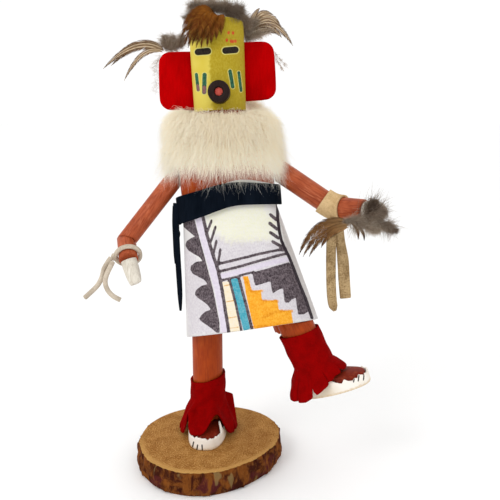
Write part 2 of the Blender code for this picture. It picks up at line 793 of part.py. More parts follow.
def build_right_arm(figure, skin_paint, white):
    """The lowered arm, its pale carved hand, and the lace tied round the wrist."""
    side = leaning(TORSO_LEAN, TORSO_ROLL) @ Vector((1, 0, 0))
    elbow = mitre(RIGHT_SHOULDER, RIGHT_ELBOW, RIGHT_WRIST)
    half_gap = elbow * GAP / 2
    add_limb(
        "arm_upper_right",
        RIGHT_SHOULDER,
        RIGHT_ELBOW - half_gap,
        RIGHT_ARM_DIAMETER,
        skin_paint,
        figure,
        (-side, elbow),
    )
    add_limb(
        "arm_fore_right",
        RIGHT_ELBOW + half_gap,
        RIGHT_WRIST,
        RIGHT_ARM_DIAMETER,
        skin_paint,
        figure,
        (elbow, None),
    )
    axis = (RIGHT_WRIST - RIGHT_ELBOW).normalized()
    reach = (axis + Vector((0.25, 0.35, -0.75))).normalized()
    start = RIGHT_WRIST + axis * 2 * GAP
    hand = build_hand("hand_right", start, reach, RIGHT_ARM_DIAMETER, white, figure)
    ends = (RIGHT_ELBOW, RIGHT_WRIST + axis * GAP)
    sleeve = add_limb("forearm_clear", *ends, RIGHT_ARM_DIAMETER, white, figure, margin=GAP)
    cut(hand, sleeve)
    build_lace(figure, axis)


def build_hand(name, start, reach, diameter, finish, figure):
    """A mitten-like hand, carved from the arm's dowel, with grooves between its fingers."""
    sides = 20
    turn = reach.to_track_quat("Z", "X")
    rings = []
    for share, wide, deep in HAND_SECTIONS:
        ring = circle(diameter / 2, sides, share * HAND_LENGTH)
        for i, point in enumerate(ring):
            across = math.cos(math.tau * i / sides)
            groove = abs(math.sin(HAND_FINGERS * math.pi * (across + 1) / 2))
            depth = 1 - FINGER_GROOVE * (1 - groove) * ease(min(share * 1.6, 1.0))
            point.x *= wide
            point.y *= deep * depth
        rings.append(ring)
    hand = add_object(name, skin(rings), finish, figure)
    hand.location = start
    hand.rotation_mode = "QUATERNION"
    hand.rotation_quaternion = turn
    return hand


def build_lace(figure, axis):
    """A grey suede lace: one turn round the wrist with its knot, and two loose ends."""
    lace = finish_of("lace_suede", (0.45, 0.38, 0.28), 0.9)
    centre = RIGHT_WRIST - axis * LACE_BACK
    radius = RIGHT_ARM_DIAMETER / 2 + GAP + LACE_DIAMETER / 2
    bm = bmesh.new()
    bmesh.ops.create_circle(bm, cap_ends=False, segments=6, radius=LACE_DIAMETER / 2)
    bmesh.ops.rotate(bm, verts=bm.verts, matrix=Matrix.Rotation(math.radians(90), 3, "X"))
    bmesh.ops.translate(bm, verts=bm.verts, vec=(radius, 0, 0))
    bmesh.ops.spin(
        bm,
        geom=bm.edges[:],
        cent=(0, 0, 0),
        axis=(0, 0, 1),
        angle=math.tau,
        steps=12,
        use_merge=True,
    )
    bmesh.ops.remove_doubles(bm, verts=bm.verts, dist=1e-6)
    bmesh.ops.recalc_face_normals(bm, faces=bm.faces)
    ring = add_object("wrist_lace", bm, lace, figure)
    ring.location = centre
    ring.rotation_mode = "QUATERNION"
    ring.rotation_quaternion = axis.to_track_quat("Z", "Y")
    aside = LACE_KNOT - centre
    aside -= axis * aside.dot(axis)
    knot_place = centre + aside.normalized() * (radius + 0.0010)
    knot = add_fluff("lace_knot", knot_place, LACE_KNOT_SIZE, 2.0, lace, figure)
    cut(ring, knot, "UNION")
    ends = (RIGHT_ELBOW, RIGHT_WRIST + axis * 0.001)
    clear = add_limb("wrist_clear", *ends, RIGHT_ARM_DIAMETER, lace, figure, margin=GAP)
    cut(ring, clear)
    for name, places in LACE_TAILS.items():
        route = smooth_route([pose(*place) for place in places], 2)
        add_cord(name, route, LACE_DIAMETER, lace, figure)


def add_cord(name, route, diameter, finish, parent):
    """A round cord along a route, with filled ends."""
    curve = bpy.data.curves.new(name, "CURVE")
    curve.dimensions = "3D"
    curve.bevel_depth = diameter / 2
    curve.bevel_resolution = 2
    curve.use_fill_caps = True
    spline = curve.splines.new("POLY")
    spline.points.add(len(route) - 1)
    for point, place in zip(spline.points, route):
        point.co = (*place, 1.0)
    curve.materials.append(finish)
    obj = bpy.data.objects.new(name, curve)
    obj.parent = parent
    bpy.context.scene.collection.objects.link(obj)
    return obj


def build_left_arm(figure, skin_paint, white):
    """The raised arm with its leather cuff and strips, and the feathers held in its hand."""
    suede = finish_of("tan_suede", TAN, 0.9)
    side = leaning(TORSO_LEAN, TORSO_ROLL) @ Vector((1, 0, 0))
    elbow = mitre(LEFT_SHOULDER, LEFT_ELBOW, LEFT_WRIST)
    half_gap = elbow * GAP / 2
    add_limb(
        "arm_upper_left",
        LEFT_SHOULDER,
        LEFT_ELBOW - half_gap,
        LEFT_ARM_DIAMETER,
        skin_paint,
        figure,
        (side, elbow),
    )
    add_limb(
        "arm_fore_left",
        LEFT_ELBOW + half_gap,
        LEFT_WRIST,
        LEFT_ARM_DIAMETER,
        skin_paint,
        figure,
        (elbow, None),
    )
    axis = (LEFT_WRIST - LEFT_ELBOW).normalized()
    start = LEFT_WRIST + axis * 2 * GAP
    hand = build_hand("hand_left", start, axis, LEFT_ARM_DIAMETER, white, figure)
    hand.scale = LEFT_HAND_SCALE
    build_cuff(figure, elbow, suede)
    for name, places, point_rows in CUFF_STRIPS:
        route = smooth_route([pose(*place) for place in places], 3)
        size = (STRIP_WIDTH, STRIP_THICKNESS)
        add_strap(name, route, size, Vector((1, 0.15, 0)), suede, figure, point_rows)
    build_hand_feathers(figure)


def build_cuff(figure, elbow_normal, suede):
    """The leather cuff bent round the elbow's mitre."""
    upper = (LEFT_ELBOW - LEFT_SHOULDER).normalized()
    fore = (LEFT_WRIST - LEFT_ELBOW).normalized()
    radius = LEFT_ARM_DIAMETER / 2 + GAP
    half = CUFF_LENGTH / 2
    turn = upper.to_track_quat("Z", "Y")
    rings = []
    for way, reach in ((upper, -half), (None, 0.0), (fore, half)):
        ring = []
        for point in circle(radius, CUFF_SIDES):
            spoke = turn @ point
            run = spoke.dot(elbow_normal) / upper.dot(elbow_normal)
            seam = LEFT_ELBOW + spoke - upper * run
            if way is None:
                ring.append(seam)
                continue
            centre = LEFT_ELBOW + way * reach
            along = way * (seam - centre).dot(way)
            ring.append(seam - along)
        rings.append(ring)
    cuff = add_object("arm_cuff", skin(rings, capped=False), suede, figure)
    solidify(cuff, CUFF_THICKNESS)


def build_hand_feathers(figure):
    """Long hackles and a puff of down held in the raised hand."""
    brown = finish_of("brown_feather", BROWN_FEATHER, 0.6)
    down = finish_of("grey_down", (0.30, 0.26, 0.21), 0.95)
    centre, size, lumps, turn = HAND_PUFF
    puff = add_fluff("hand_feathers", pose(*centre), size, lumps, down, figure, turn)
    ends = (LEFT_ELBOW, mix(LEFT_ELBOW, LEFT_WRIST, 1.75))
    cut(puff, add_limb("hand_clear", *ends, LEFT_ARM_DIAMETER, down, figure, margin=2 * GAP))
    facing = Vector((0.1, -1, 0.35))
    for i, shape in enumerate(HAND_BLADES):
        cut(puff, add_blade(f"hand_hackle_{i}", shape, facing, brown, figure), "UNION")


def taper_radius(height):
    """The head's radius at a height over the neck, widening from the chin up."""
    share = height / HEAD_HEIGHT
    return mix(HEAD_CHIN_DIAMETER, HEAD_TOP_DIAMETER, share) / 2


def head_mesh(low, high, margin=0.0, sides=32):
    """The head's tapered dowel."""
    return skin([circle(taper_radius(z) + margin, sides, z) for z in (low, high)])


def build_head(head):
    """The head block, and the yellow mask with its snout."""
    wood = finish_of("head_wood", RUST, 0.7)
    add_object("head_block", head_mesh(HEAD_START, HEAD_HEIGHT), wood, head)
    columns = 20
    rows = []
    for share in (0.0, 0.25, 0.5, 0.75, 1.0):
        z = HEAD_HEIGHT - MASK_HEIGHT * (1 - share)
        row = []
        for i in range(columns + 1):
            turn = math.radians(180 + 180 * i / columns)
            radius = taper_radius(z) + GAP
            arch = MASK_BROW_ARCH * math.sin(math.radians(180 * i / columns)) * (share == 1.0)
            row.append((radius * math.cos(turn), radius * math.sin(turn), z + arch))
        rows.append(row)
    mask = add_object("mask_face", sheet(rows), finish_of("mask_leather", YELLOW, 0.6), head)
    solidify(mask, MASK_THICKNESS)
    build_snout(head)


def build_snout(head):
    """The tube snout, turned, and the pink core that shows in its mouth."""
    bm = bmesh.new()
    outer, inner = SNOUT_DIAMETER / 2, SNOUT_BORE / 2
    profile = (
        (inner, 0.0),
        (outer, 0.0),
        (outer, SNOUT_LENGTH - SNOUT_EDGE),
        (outer - SNOUT_EDGE, SNOUT_LENGTH),
        (inner, SNOUT_LENGTH),
    )
    verts = [bm.verts.new((radius, 0, z)) for radius, z in profile]
    edges = [bm.edges.new((a, b)) for a, b in zip(verts, verts[1:] + verts[:1])]
    bmesh.ops.spin(
        bm,
        geom=edges,
        cent=(0, 0, 0),
        axis=(0, 0, 1),
        angle=math.tau,
        steps=20,
        use_merge=True,
    )
    bmesh.ops.remove_doubles(bm, verts=bm.verts, dist=1e-6)
    bmesh.ops.recalc_face_normals(bm, faces=bm.faces)
    front = taper_radius(SNOUT_HEIGHT) + GAP + MASK_THICKNESS + GAP
    back = math.sqrt(front**2 - outer**2) - GAP
    place = Vector((SNOUT_ASIDE, -back, SNOUT_HEIGHT))
    turned = (math.radians(90), 0, 0)
    snout = add_object("snout", bm, finish_of("snout_black", (0.01, 0.01, 0.01), 0.5), head)
    core = add_object(
        "snout_core",
        skin([circle(inner - GAP, 20, z) for z in (0.0, SNOUT_LENGTH - CORE_RECESS)]),
        finish_of("snout_pink", (0.75, 0.10, 0.09), 0.5),
        head,
    )
    low, high = SNOUT_HEIGHT - outer - 0.004, SNOUT_HEIGHT + outer + 0.004
    around = head_mesh(low, high, 2 * GAP + MASK_THICKNESS, 64)
    clear = add_object("mask_clear", around, core.data.materials[0], head)
    for piece in (snout, core):
        piece.location = place
        piece.rotation_euler = turned
        cut(piece, clear)


def ear_outline(side, width, height, margin=0.0):
    """A flat pad, straight on the head's side and round on its outer corners."""
    points = []
    corners = (
        (1, 1, EAR_CORNER),
        (-1, 1, EAR_INNER_CORNER),
        (-1, -1, EAR_INNER_CORNER),
        (1, -1, EAR_CORNER),
    )
    for corner_x, corner_z, radius in corners:
        centre = Vector((corner_x * (width / 2 - radius), 0, corner_z * (height / 2 - radius)))
        start = math.atan2(corner_z, corner_x) - math.pi / 4
        for k in range(CORNER_STEPS + 1):
            turn = start + math.pi / 2 * k / CORNER_STEPS
            spoke = Vector((math.cos(turn), 0, math.sin(turn)))
            point = centre + spoke * (radius + margin)
            points.append(Vector((side * point.x, 0, point.z)))
    return points


def ear_place(side, place, width):
    """The middle of an ear whose inner edge reaches into the head's side."""
    depth, height = place
    spot = pose(0, depth, height)
    spot.x = side * (taper_radius(spot.z) - EAR_SINK + width / 2)
    return spot


def build_ears(head):
    """The two red ears, flat padded slabs glued to the head's sides."""
    felt = finish_of("red_felt", (0.50, 0.0, 0.0), 0.9)
    for name, (side, place, wide, tilt) in EARS.items():
        rings = []
        for y, margin in ((-0.5, -EAR_EDGE), (-0.3, 0.0), (0.3, 0.0), (0.5, -EAR_EDGE)):
            ring = ear_outline(side, EAR_WIDTH * wide, EAR_HEIGHT, margin)
            rings.append([point + Vector((0, y * EAR_THICKNESS, 0)) for point in ring])
        ear = add_object(name, skin(rings), felt, head)
        ear.location = ear_place(side, place, EAR_WIDTH * wide)
        ear.rotation_euler = Euler((0, math.radians(tilt), 0))
        clear = head_mesh(0.0, HEAD_HEIGHT + 0.001, GAP)
        cut(ear, add_object(f"{name}_clear", clear, felt, head))


def fur_ring(turn):
    """The section of the collar in one direction, with its locks."""
    c, s = math.cos(turn), math.sin(turn)
    across = FUR_REACH[0] if c < 0 else FUR_REACH[1]
    deep = FUR_REACH[2] if s < 0 else FUR_REACH[3]
    outer = 1 / math.hypot(c / across, s / deep)
    front = max(-s, 0.0) ** 2
    bottom = mix(*FUR_BOTTOM, front) + 2.5 * math.sin(3 * turn + 0.8)
    lock = abs(math.sin(FUR_LOCKS * turn / 2 + 0.4 * math.sin(5 * turn)))
    depth = FUR_LOCK_DEPTH / PART
    ring = []
    for out, height in FUR_SECTION:
        relief = out**2 * depth * (lock - 0.5) * (1.4 - height)
        radius = mix(FUR_INNER, outer, out) + relief
        fringe = (3.5 * (lock - 0.6) + 1.5 * math.sin(9 * turn)) * max(0.0, 1 - 2.2 * height)
        z = mix(bottom, FUR_TOP, height) - fringe * out
        sway = FUR_SWAY * (0.6 - height) * out
        ring.append(FUR_CENTRE + pose(radius * c + sway, radius * s, z))
    return ring


def snout_room():
    """The space that the snout stands in, with its clearance."""
    outer = SNOUT_DIAMETER / 2 + 2 * GAP
    bm = skin([circle(outer, 20, z) for z in (0.0, SNOUT_LENGTH * 2)])
    bmesh.ops.rotate(bm, verts=bm.verts, matrix=Matrix.Rotation(math.radians(90), 3, "X"))
    place = Vector((SNOUT_ASIDE, -taper_radius(SNOUT_HEIGHT), SNOUT_HEIGHT))
    bmesh.ops.translate(bm, verts=bm.verts, vec=place)
    return bm


def build_fur(figure, body, head):
    """The fur ruff round the neck, its locks hanging over the chest and shoulders."""
    fur = finish_of("white_fur", (0.80, 0.77, 0.70), 1.0)
    rings = [fur_ring(math.tau * i / FUR_COLUMNS) for i in range(FUR_COLUMNS)]
    collar = add_object("fur_collar", skin(rings, capped=False, looped=True), fur, figure, 50)
    masked = head_mesh(0.0, HEAD_HEIGHT, 3 * GAP + MASK_THICKNESS)
    clears = [
        add_object("torso_clear", torso_mesh(2 * GAP), fur, body),
        add_object("head_clear", masked, fur, head),
        add_object("snout_clear", snout_room(), fur, head),
    ]
    arms = (
        ("right_arm_clear", RIGHT_SHOULDER, RIGHT_ELBOW, RIGHT_ARM_DIAMETER),
        ("left_arm_clear", LEFT_SHOULDER, LEFT_ELBOW, LEFT_ARM_DIAMETER),
    )
    for name, shoulder, elbow, diameter in arms:
        within = shoulder + (shoulder - elbow) * 0.2
        clears.append(add_limb(name, within, elbow, diameter, fur, figure, margin=GAP))
    half_room = EAR_THICKNESS / 2 + GAP
    for name, (side, place, wide, tilt) in EARS.items():
        ring = ear_outline(side, EAR_WIDTH * wide, EAR_HEIGHT, GAP)
        faces = [[point + Vector((0, y, 0)) for point in ring] for y in (-half_room, half_room)]
        slab = add_object(f"{name}_room", skin(faces), fur, head)
        slab.location = ear_place(side, place, EAR_WIDTH * wide)
        slab.rotation_euler = Euler((0, math.radians(tilt), 0))
        clears.append(slab)
    for clear in clears:
        cut(collar, clear)


def build_cluster(name, puff_shape, blades, facing, room, head):
    """A puff of down with hackles fused to it, cut clear of the head."""
    brown = finish_of("brown_feather", BROWN_FEATHER, 0.6)
    down = finish_of("grey_down", (0.30, 0.26, 0.21), 0.95)
    centre, size, lumps, turn = puff_shape
    puff = add_fluff(name, pose(*centre), size, lumps, down, head, turn)
    for i, shape in enumerate(blades):
        cut(puff, add_blade(f"{name}_hackle_{i}", shape, facing, brown, head), "UNION")
    margin = 3 * GAP + MASK_THICKNESS
    cut(puff, add_object(f"{name}_room", head_mesh(*room, margin), down, head))


def build_head_feathers(head):
    """The brown crest over the brow and a spray of hackles behind each ear."""
    brow = (HEAD_HEIGHT - MASK_HEIGHT, HEAD_HEIGHT + 0.0026)
    side = (0.0, HEAD_HEIGHT)
    forward = Vector((0, -1, 0.2))
    build_cluster("crest_feathers", CROWN_PUFF, CROWN_BLADES, Vector((0, -0.5, 1)), brow, head)
    build_cluster("side_feathers_right", RIGHT_PUFF, RIGHT_BLADES, forward, side, head)
    build_cluster("side_feathers_left", LEFT_PUFF, LEFT_BLADES, forward, side, head)


def build_doll():
    """Build every piece of the doll on its log."""
    for obj in list(bpy.data.objects):
        bpy.data.objects.remove(obj, do_unlink=True)
    leg_wood = finish_of("leg_paint", RUST, 0.55)
    skin_paint = finish_of("arm_paint", SALMON, 0.5)
    white = finish_of("hand_white", (0.85, 0.84, 0.80), 0.6)
    build_log()
    figure = add_empty("figure", (0, 0, LOG_THICKNESS))
    body = add_empty("body", WAIST, (0, 0, 0), figure)
    body.rotation_euler = leaning(TORSO_LEAN, TORSO_ROLL).to_euler()
    head = add_empty("head", NECK, (0, 0, 0), figure)
    head.rotation_euler = leaning(HEAD_LEAN, HEAD_ROLL).to_euler()
    build_torso(body, leg_wood)
    build_right_leg(figure, leg_wood)
    build_left_leg(figure, leg_wood)
    build_kilt(figure)
    build_sash(figure)
    build_right_arm(figure, skin_paint, white)
    build_left_arm(figure, skin_paint, white)
    build_head(head)
    build_ears(head)
    build_fur(figure, body, head)
    build_head_feathers(head)


build_doll()
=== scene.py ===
"""The looks of a carved kachina doll dancing on a slice of log.

Metres, +Z up, the doll faces -Y. Places on the doll are written in millimetres above the log's top.
"""

import logging
import math
from dataclasses import dataclass, replace
from enum import Enum
from typing import Mapping, Sequence, Union

import bmesh
import bpy
import numpy as np
from mathutils import Euler, Matrix, Vector


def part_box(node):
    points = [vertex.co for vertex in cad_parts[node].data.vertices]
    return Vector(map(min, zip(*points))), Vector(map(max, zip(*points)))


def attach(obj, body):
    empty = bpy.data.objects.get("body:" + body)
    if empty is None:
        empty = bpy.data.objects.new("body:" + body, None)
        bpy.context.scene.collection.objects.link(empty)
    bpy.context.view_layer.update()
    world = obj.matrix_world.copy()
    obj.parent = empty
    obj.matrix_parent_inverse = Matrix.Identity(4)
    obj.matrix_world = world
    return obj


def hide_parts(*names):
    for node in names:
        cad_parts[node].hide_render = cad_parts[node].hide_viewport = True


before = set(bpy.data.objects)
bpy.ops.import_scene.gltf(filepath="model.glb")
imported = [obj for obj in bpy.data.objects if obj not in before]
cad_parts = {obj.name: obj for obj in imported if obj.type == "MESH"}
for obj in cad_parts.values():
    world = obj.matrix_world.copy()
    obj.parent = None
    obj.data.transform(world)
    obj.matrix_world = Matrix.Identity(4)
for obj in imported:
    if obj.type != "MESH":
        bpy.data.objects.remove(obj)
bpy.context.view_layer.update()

MM = 0.001
LOG_TOP = 18.0
LEVEL = (1.0, 1.0, 0.0)
LOG = logging.getLogger("kachina_doll")

Colour = tuple[float, float, float]
Point = tuple[float, float, float]
Pixel = tuple[float, float]
Number = Union[float, "Signal"]


class Slot(Enum):
    """The record's material slots."""

    LOG = "log_wood"
    LEG = "leg_paint"
    ARM = "arm_paint"
    FOOT = "foot_wood"
    HAND = "hand_white"
    HEAD = "head_wood"
    BAND = "band_leather"
    SUEDE = "red_suede"
    KILT = "kilt_leather"
    SASH = "sash_cloth"
    LACE = "lace_suede"
    CUFF = "tan_suede"
    MASK = "mask_leather"
    SNOUT = "snout_black"
    CORE = "snout_pink"
    EAR = "red_felt"
    FUR = "white_fur"
    FEATHER = "grey_down"


class Signal:
    """A node's output that Python sums build further nodes on."""

    def __init__(self, recipe: "Recipe", socket: bpy.types.NodeSocket) -> None:
        """Keep the recipe that the socket belongs to."""
        self.recipe = recipe
        self.socket = socket

    def __add__(self, other: Number) -> "Signal":
        """The sum with a number or another signal."""
        return self.recipe.maths("ADD", self, other)

    def __sub__(self, other: Number) -> "Signal":
        """The difference from a number or another signal."""
        return self.recipe.maths("SUBTRACT", self, other)

    def __rsub__(self, other: Number) -> "Signal":
        """A number less this signal."""
        return self.recipe.maths("SUBTRACT", other, self)

    def __mul__(self, other: Number) -> "Signal":
        """The product with a number or another signal."""
        return self.recipe.maths("MULTIPLY", self, other)

    def __truediv__(self, other: Number) -> "Signal":
        """The quotient by a number or another signal."""
        return self.recipe.maths("DIVIDE", self, other)

    def __pow__(self, other: Number) -> "Signal":
        """The power by a number or another signal."""
        return self.recipe.maths("POWER", self, other)

    __radd__ = __add__
    __rmul__ = __mul__

    def between(self, low: float, high: float) -> "Signal":
        """A smooth step from 0 at low to 1 at high; it falls where low is the greater.

        Args:
            low: the value that becomes 0.
            high: the value that becomes 1.

        Returns:
            The stepped signal.
        """
        settings = {"interpolation_type": "SMOOTHSTEP"}
        ends = (low, high, 0.0, 1.0) if low < high else (high, low, 1.0, 0.0)
        inputs = {0: self, 1: ends[0], 2: ends[1], 3: ends[2], 4: ends[3]}
        return self.recipe.signal("ShaderNodeMapRange", settings, inputs)

    def wave(self) -> "Signal":
        """The sine of the signal."""
        return self.recipe.maths("SINE", self)


class Recipe:
    """The node graph of one finish, ending in a Principled shader."""

    def __init__(self, name: str) -> None:
        """Start a material of that name."""
        self.material = bpy.data.materials.new(name)
        self.material.use_nodes = True
        self.tree = self.material.node_tree
        self.shader = self.tree.nodes["Principled BSDF"]
        self._place: Union[Signal, None] = None

    def node(self, kind: str, settings: Mapping, inputs: Mapping) -> bpy.types.Node:
        """Add a node: its settings first, then the values or links of its sockets.

        Args:
            kind: the node's type.
            settings: attribute names and their values.
            inputs: socket names or numbers, and numbers, colours or signals for them.

        Returns:
            The new node.
        """
        node = self.tree.nodes.new(kind)
        for name, value in settings.items():
            setattr(node, name, value)
        for key, value in inputs.items():
            self.feed(node.inputs[key], value)
        return node

    def feed(self, socket: bpy.types.NodeSocket, value: Union[Number, Sequence[float]]) -> None:
        """Link a signal to a socket, or set its constant."""
        if isinstance(value, Signal):
            self.tree.links.new(value.socket, socket)
        elif isinstance(value, tuple) and len(value) == 3 and socket.type == "RGBA":
            socket.default_value = (*value, 1.0)
        else:
            socket.default_value = value

    def signal(self, kind: str, settings: Mapping, inputs: Mapping, output: int = 0) -> Signal:
        """Add a node and return one of its outputs."""
        return Signal(self, self.node(kind, settings, inputs).outputs[output])

    def maths(self, operation: str, *values: Number) -> Signal:
        """A Math node on numbers and signals."""
        return self.signal("ShaderNodeMath", {"operation": operation}, dict(enumerate(values)))

    def place(self) -> Signal:
        """The point of the piece, in metres."""
        if self._place is None:
            self._place = self.signal("ShaderNodeTexCoord", {}, {}, output=3)
        return self._place

    def axis(self, name: str) -> Signal:
        """One coordinate of the point, in millimetres."""
        outputs = {"X": 0, "Y": 1, "Z": 2}
        part = self.signal("ShaderNodeSeparateXYZ", {}, {0: self.place()}, outputs[name])
        return part * (1 / MM)

    def attribute(self, name: str) -> Signal:
        """A number that the mesh carries."""
        return self.signal("ShaderNodeAttribute", {"attribute_name": name}, {}, output=2)

    def spread(self, size: float, stretch: Point, axis: Point) -> Signal:
        """The point measured in clouds of a size, longest along an axis.

        Args:
            size: the size of a cloud in millimetres.
            stretch: how many times longer the clouds are along X, Y and the axis.
            axis: the way that stands for Z.

        Returns:
            The measured point.
        """
        turn = Vector((0, 0, 1)).rotation_difference(Vector(axis)).to_euler()
        scale = tuple(size * MM * times for times in stretch)
        inputs = {"Vector": self.place(), "Rotation": tuple(turn), "Scale": scale}
        return self.signal("ShaderNodeMapping", {"vector_type": "TEXTURE"}, inputs)

    def noise(
        self,
        size: float,
        detail: float = 3.0,
        roughness: float = 0.55,
        stretch: Point = (1.0, 1.0, 1.0),
        swirl: float = 0.0,
        axis: Point = (0.0, 0.0, 1.0),
    ) -> Signal:
        """Cloudy noise from 0 to 1.

        Args:
            size: the size of a cloud in millimetres.
            detail: how many finer layers it has.
            roughness: how strong the finer layers are.
            stretch: how many times longer the clouds are along X, Y and the axis.
            swirl: how far the clouds are twisted.
            axis: the way that stands for Z.

        Returns:
            The noise.
        """
        inputs = {
            "Vector": self.spread(size, stretch, axis),
            "Scale": 1.0,
            "Detail": detail,
            "Roughness": roughness,
            "Distortion": swirl,
        }
        return self.signal("ShaderNodeTexNoise", {}, inputs)

    def blend(
        self,
        share: Number,
        first: Union[Colour, Signal],
        second: Union[Colour, Signal],
        way: str = "MIX",
    ) -> Signal:
        """A colour between two, by a share from 0 to 1.

        Args:
            share: 0 for the first colour, 1 for the second.
            first: the colour underneath.
            second: the colour on top.
            way: how they mix, as the Mix node names it.

        Returns:
            The mixed colour.
        """
        settings = {"data_type": "RGBA", "blend_type": way, "clamp_factor": True}
        return self.signal("ShaderNodeMix", settings, {0: share, 6: first, 7: second}, output=2)

    def relief(self, height: Signal, depth: float, strength: float = 1.0) -> None:
        """Carve the surface by a height from 0 to 1.

        Args:
            height: the height.
            depth: how deep the relief is, in millimetres.
            strength: how much of it shows.
        """
        inputs = {"Height": height, "Distance": depth * MM, "Strength": strength}
        self.set("Normal", self.signal("ShaderNodeBump", {}, inputs))

    def set(self, socket: str, value: Union[Number, Sequence[float]]) -> None:
        """Give the shader a value or a signal."""
        self.feed(self.shader.inputs[socket], value)

    def finish(self, colour: Signal, roughness: Number, gloss: float) -> bpy.types.Material:
        """Set the colour, the roughness and how strongly light is reflected."""
        self.set("Base Color", colour)
        self.set("Roughness", roughness)
        self.set("Specular IOR Level", gloss)
        return self.material


@dataclass(frozen=True)
class StainedWood:
    """Wood under a thin stain: grain along the piece, dark in the pores, worn where touched."""

    name: str
    colour: Colour
    dark: Colour
    worn: Colour = (0.62, 0.28, 0.14)
    roughness: float = 0.5
    stretch: Point = (1.0, 1.0, 14.0)
    axis: Point = (0.0, 0.0, 1.0)
    wear: float = 0.3

    def along(self, name: str, axis: Point) -> "StainedWood":
        """The same stain on a piece whose grain runs another way."""
        return replace(self, name=name, axis=axis)

    def build(self) -> bpy.types.Material:
        """The material."""
        recipe = Recipe(self.name)
        clouds = recipe.noise(15.0, 2.0)
        grain = recipe.noise(0.8, 4.0, 0.6, self.stretch, 0.4, self.axis)
        pores = recipe.noise(0.42, 2.0, 0.7, self.stretch, 0.0, self.axis)
        share = clouds.between(0.34, 0.70) * 0.45 + grain.between(0.44, 0.66) * 0.55
        base = recipe.blend(share, self.colour, self.dark)
        rubbed = recipe.noise(5.0, 3.0, 0.6, (1.0, 1.0, 2.5), 0.0, self.axis).between(0.50, 0.68)
        base = recipe.blend(rubbed * grain.between(0.62, 0.40) * self.wear * 2, base, self.worn)
        base = recipe.blend(pores.between(0.58, 0.74) * 0.5, base, self.dark)
        recipe.relief(grain * 0.6 + pores * 0.4, 0.14, 0.7)
        return recipe.finish(base, grain * 0.18 + (self.roughness - 0.09), 0.14)


@dataclass(frozen=True)
class Suede:
    """Napped leather: mottled, with a fine fuzzy grain of specks."""

    name: str
    light: Colour
    dark: Colour
    nap: float = 0.5
    speck: float = 0.35

    def build(self) -> bpy.types.Material:
        """The material."""
        recipe = Recipe(self.name)
        mottle = recipe.noise(6.0, 3.0)
        nap = recipe.noise(self.nap, 3.0, 0.7)
        fleck = recipe.noise(self.nap * 1.5, 2.0, 0.7).between(0.50, 0.66)
        share = mottle.between(0.35, 0.70) * 0.45 + nap.between(0.40, 0.62) * 0.40
        base = recipe.blend(share, self.light, self.dark)
        recipe.relief(nap * 0.7 + mottle * 0.3, 0.25, 0.8)
        return recipe.finish(recipe.blend(fleck * self.speck, base, self.dark), 0.92, 0.03)


@dataclass(frozen=True)
class SawnLog:
    """End grain with growth rings and saw marks on the top, flaking bark round the side."""

    name: str = "sawn_log"
    pith: tuple[float, float] = (8.0, 14.0)
    ring_width: float = 1.9
    rim_start: float = 0.90

    def rings(self, recipe: Recipe) -> Signal:
        """How far a point lies from the pith, in millimetres, with the wobble of growth."""
        east = recipe.axis("X") - self.pith[0]
        north = recipe.axis("Y") - self.pith[1]
        wobble = recipe.noise(34.0, 2.0) * 11.0 + recipe.noise(7.0, 2.0) * 1.4
        return (east * east + north * north) ** 0.5 + wobble

    def build(self) -> bpy.types.Material:
        """The material."""
        recipe = Recipe(self.name)
        rim = recipe.attribute("rim")
        away = self.rings(recipe)
        ring = (away * (math.tau / self.ring_width)).wave() * 0.5 + 0.5
        fibre = recipe.noise(0.9, 3.0, 0.75)
        patch = recipe.noise(9.0, 3.0, 0.6)
        saw = recipe.noise(0.8, 2.0, 0.6, (28.0, 1.0, 1.0))
        grain = recipe.blend(patch.between(0.34, 0.68), (0.46, 0.225, 0.060), (0.28, 0.110, 0.020))
        grain = recipe.blend(ring.between(0.2, 1.0) * 0.34, grain, (0.22, 0.085, 0.018))
        grain = recipe.blend(fibre.between(0.50, 0.64) * 0.75, grain, (0.68, 0.40, 0.14))
        grain = recipe.blend(fibre.between(0.48, 0.36) * 0.8, grain, (0.14, 0.050, 0.008))
        heart = away.between(26.0, 8.0)
        grain = recipe.blend(heart * 0.35, grain, (0.26, 0.12, 0.045))
        pale = rim.between(self.rim_start, self.rim_start + 0.05)
        pale = pale * recipe.axis("Y").between(20.0, -35.0)
        grain = recipe.blend(pale * 0.62, grain, (0.58, 0.33, 0.10))

        plates = recipe.noise(7.0, 4.0, 0.65, (1.0, 1.0, 1.5), 0.6)
        flakes = recipe.noise(1.6, 4.0, 0.7, (1.0, 1.0, 2.2))
        bark = recipe.blend(plates.between(0.38, 0.62), (0.19, 0.058, 0.010), (0.040, 0.007, 0.003))
        bark = recipe.blend(flakes.between(0.55, 0.75) * 0.6, bark, (0.30, 0.13, 0.035))
        bark = recipe.blend(flakes.between(0.40, 0.24) * 0.7, bark, (0.03, 0.013, 0.01))
        maroon = recipe.noise(15.0, 2.0).between(0.56, 0.64) * plates.between(0.35, 0.5)
        bark = recipe.blend(maroon * 0.8, bark, (0.075, 0.012, 0.014))
        lichen = recipe.noise(9.0, 2.0, 0.5, (1.0, 1.0, 2.0)).between(0.62, 0.70)
        bark = recipe.blend(lichen * 0.7, bark, (0.24, 0.155, 0.06))

        side = recipe.attribute("side").between(0.4, 0.6)
        face = fibre * 0.5 + saw * 0.35 + ring * 0.15
        rough = plates * 0.5 + flakes * 0.5
        recipe.relief(face * (1 - side) * 0.45 + rough * side, 1.1, 0.9)
        return recipe.finish(recipe.blend(side, grain, bark), fibre * 0.2 + 0.7, 0.05)


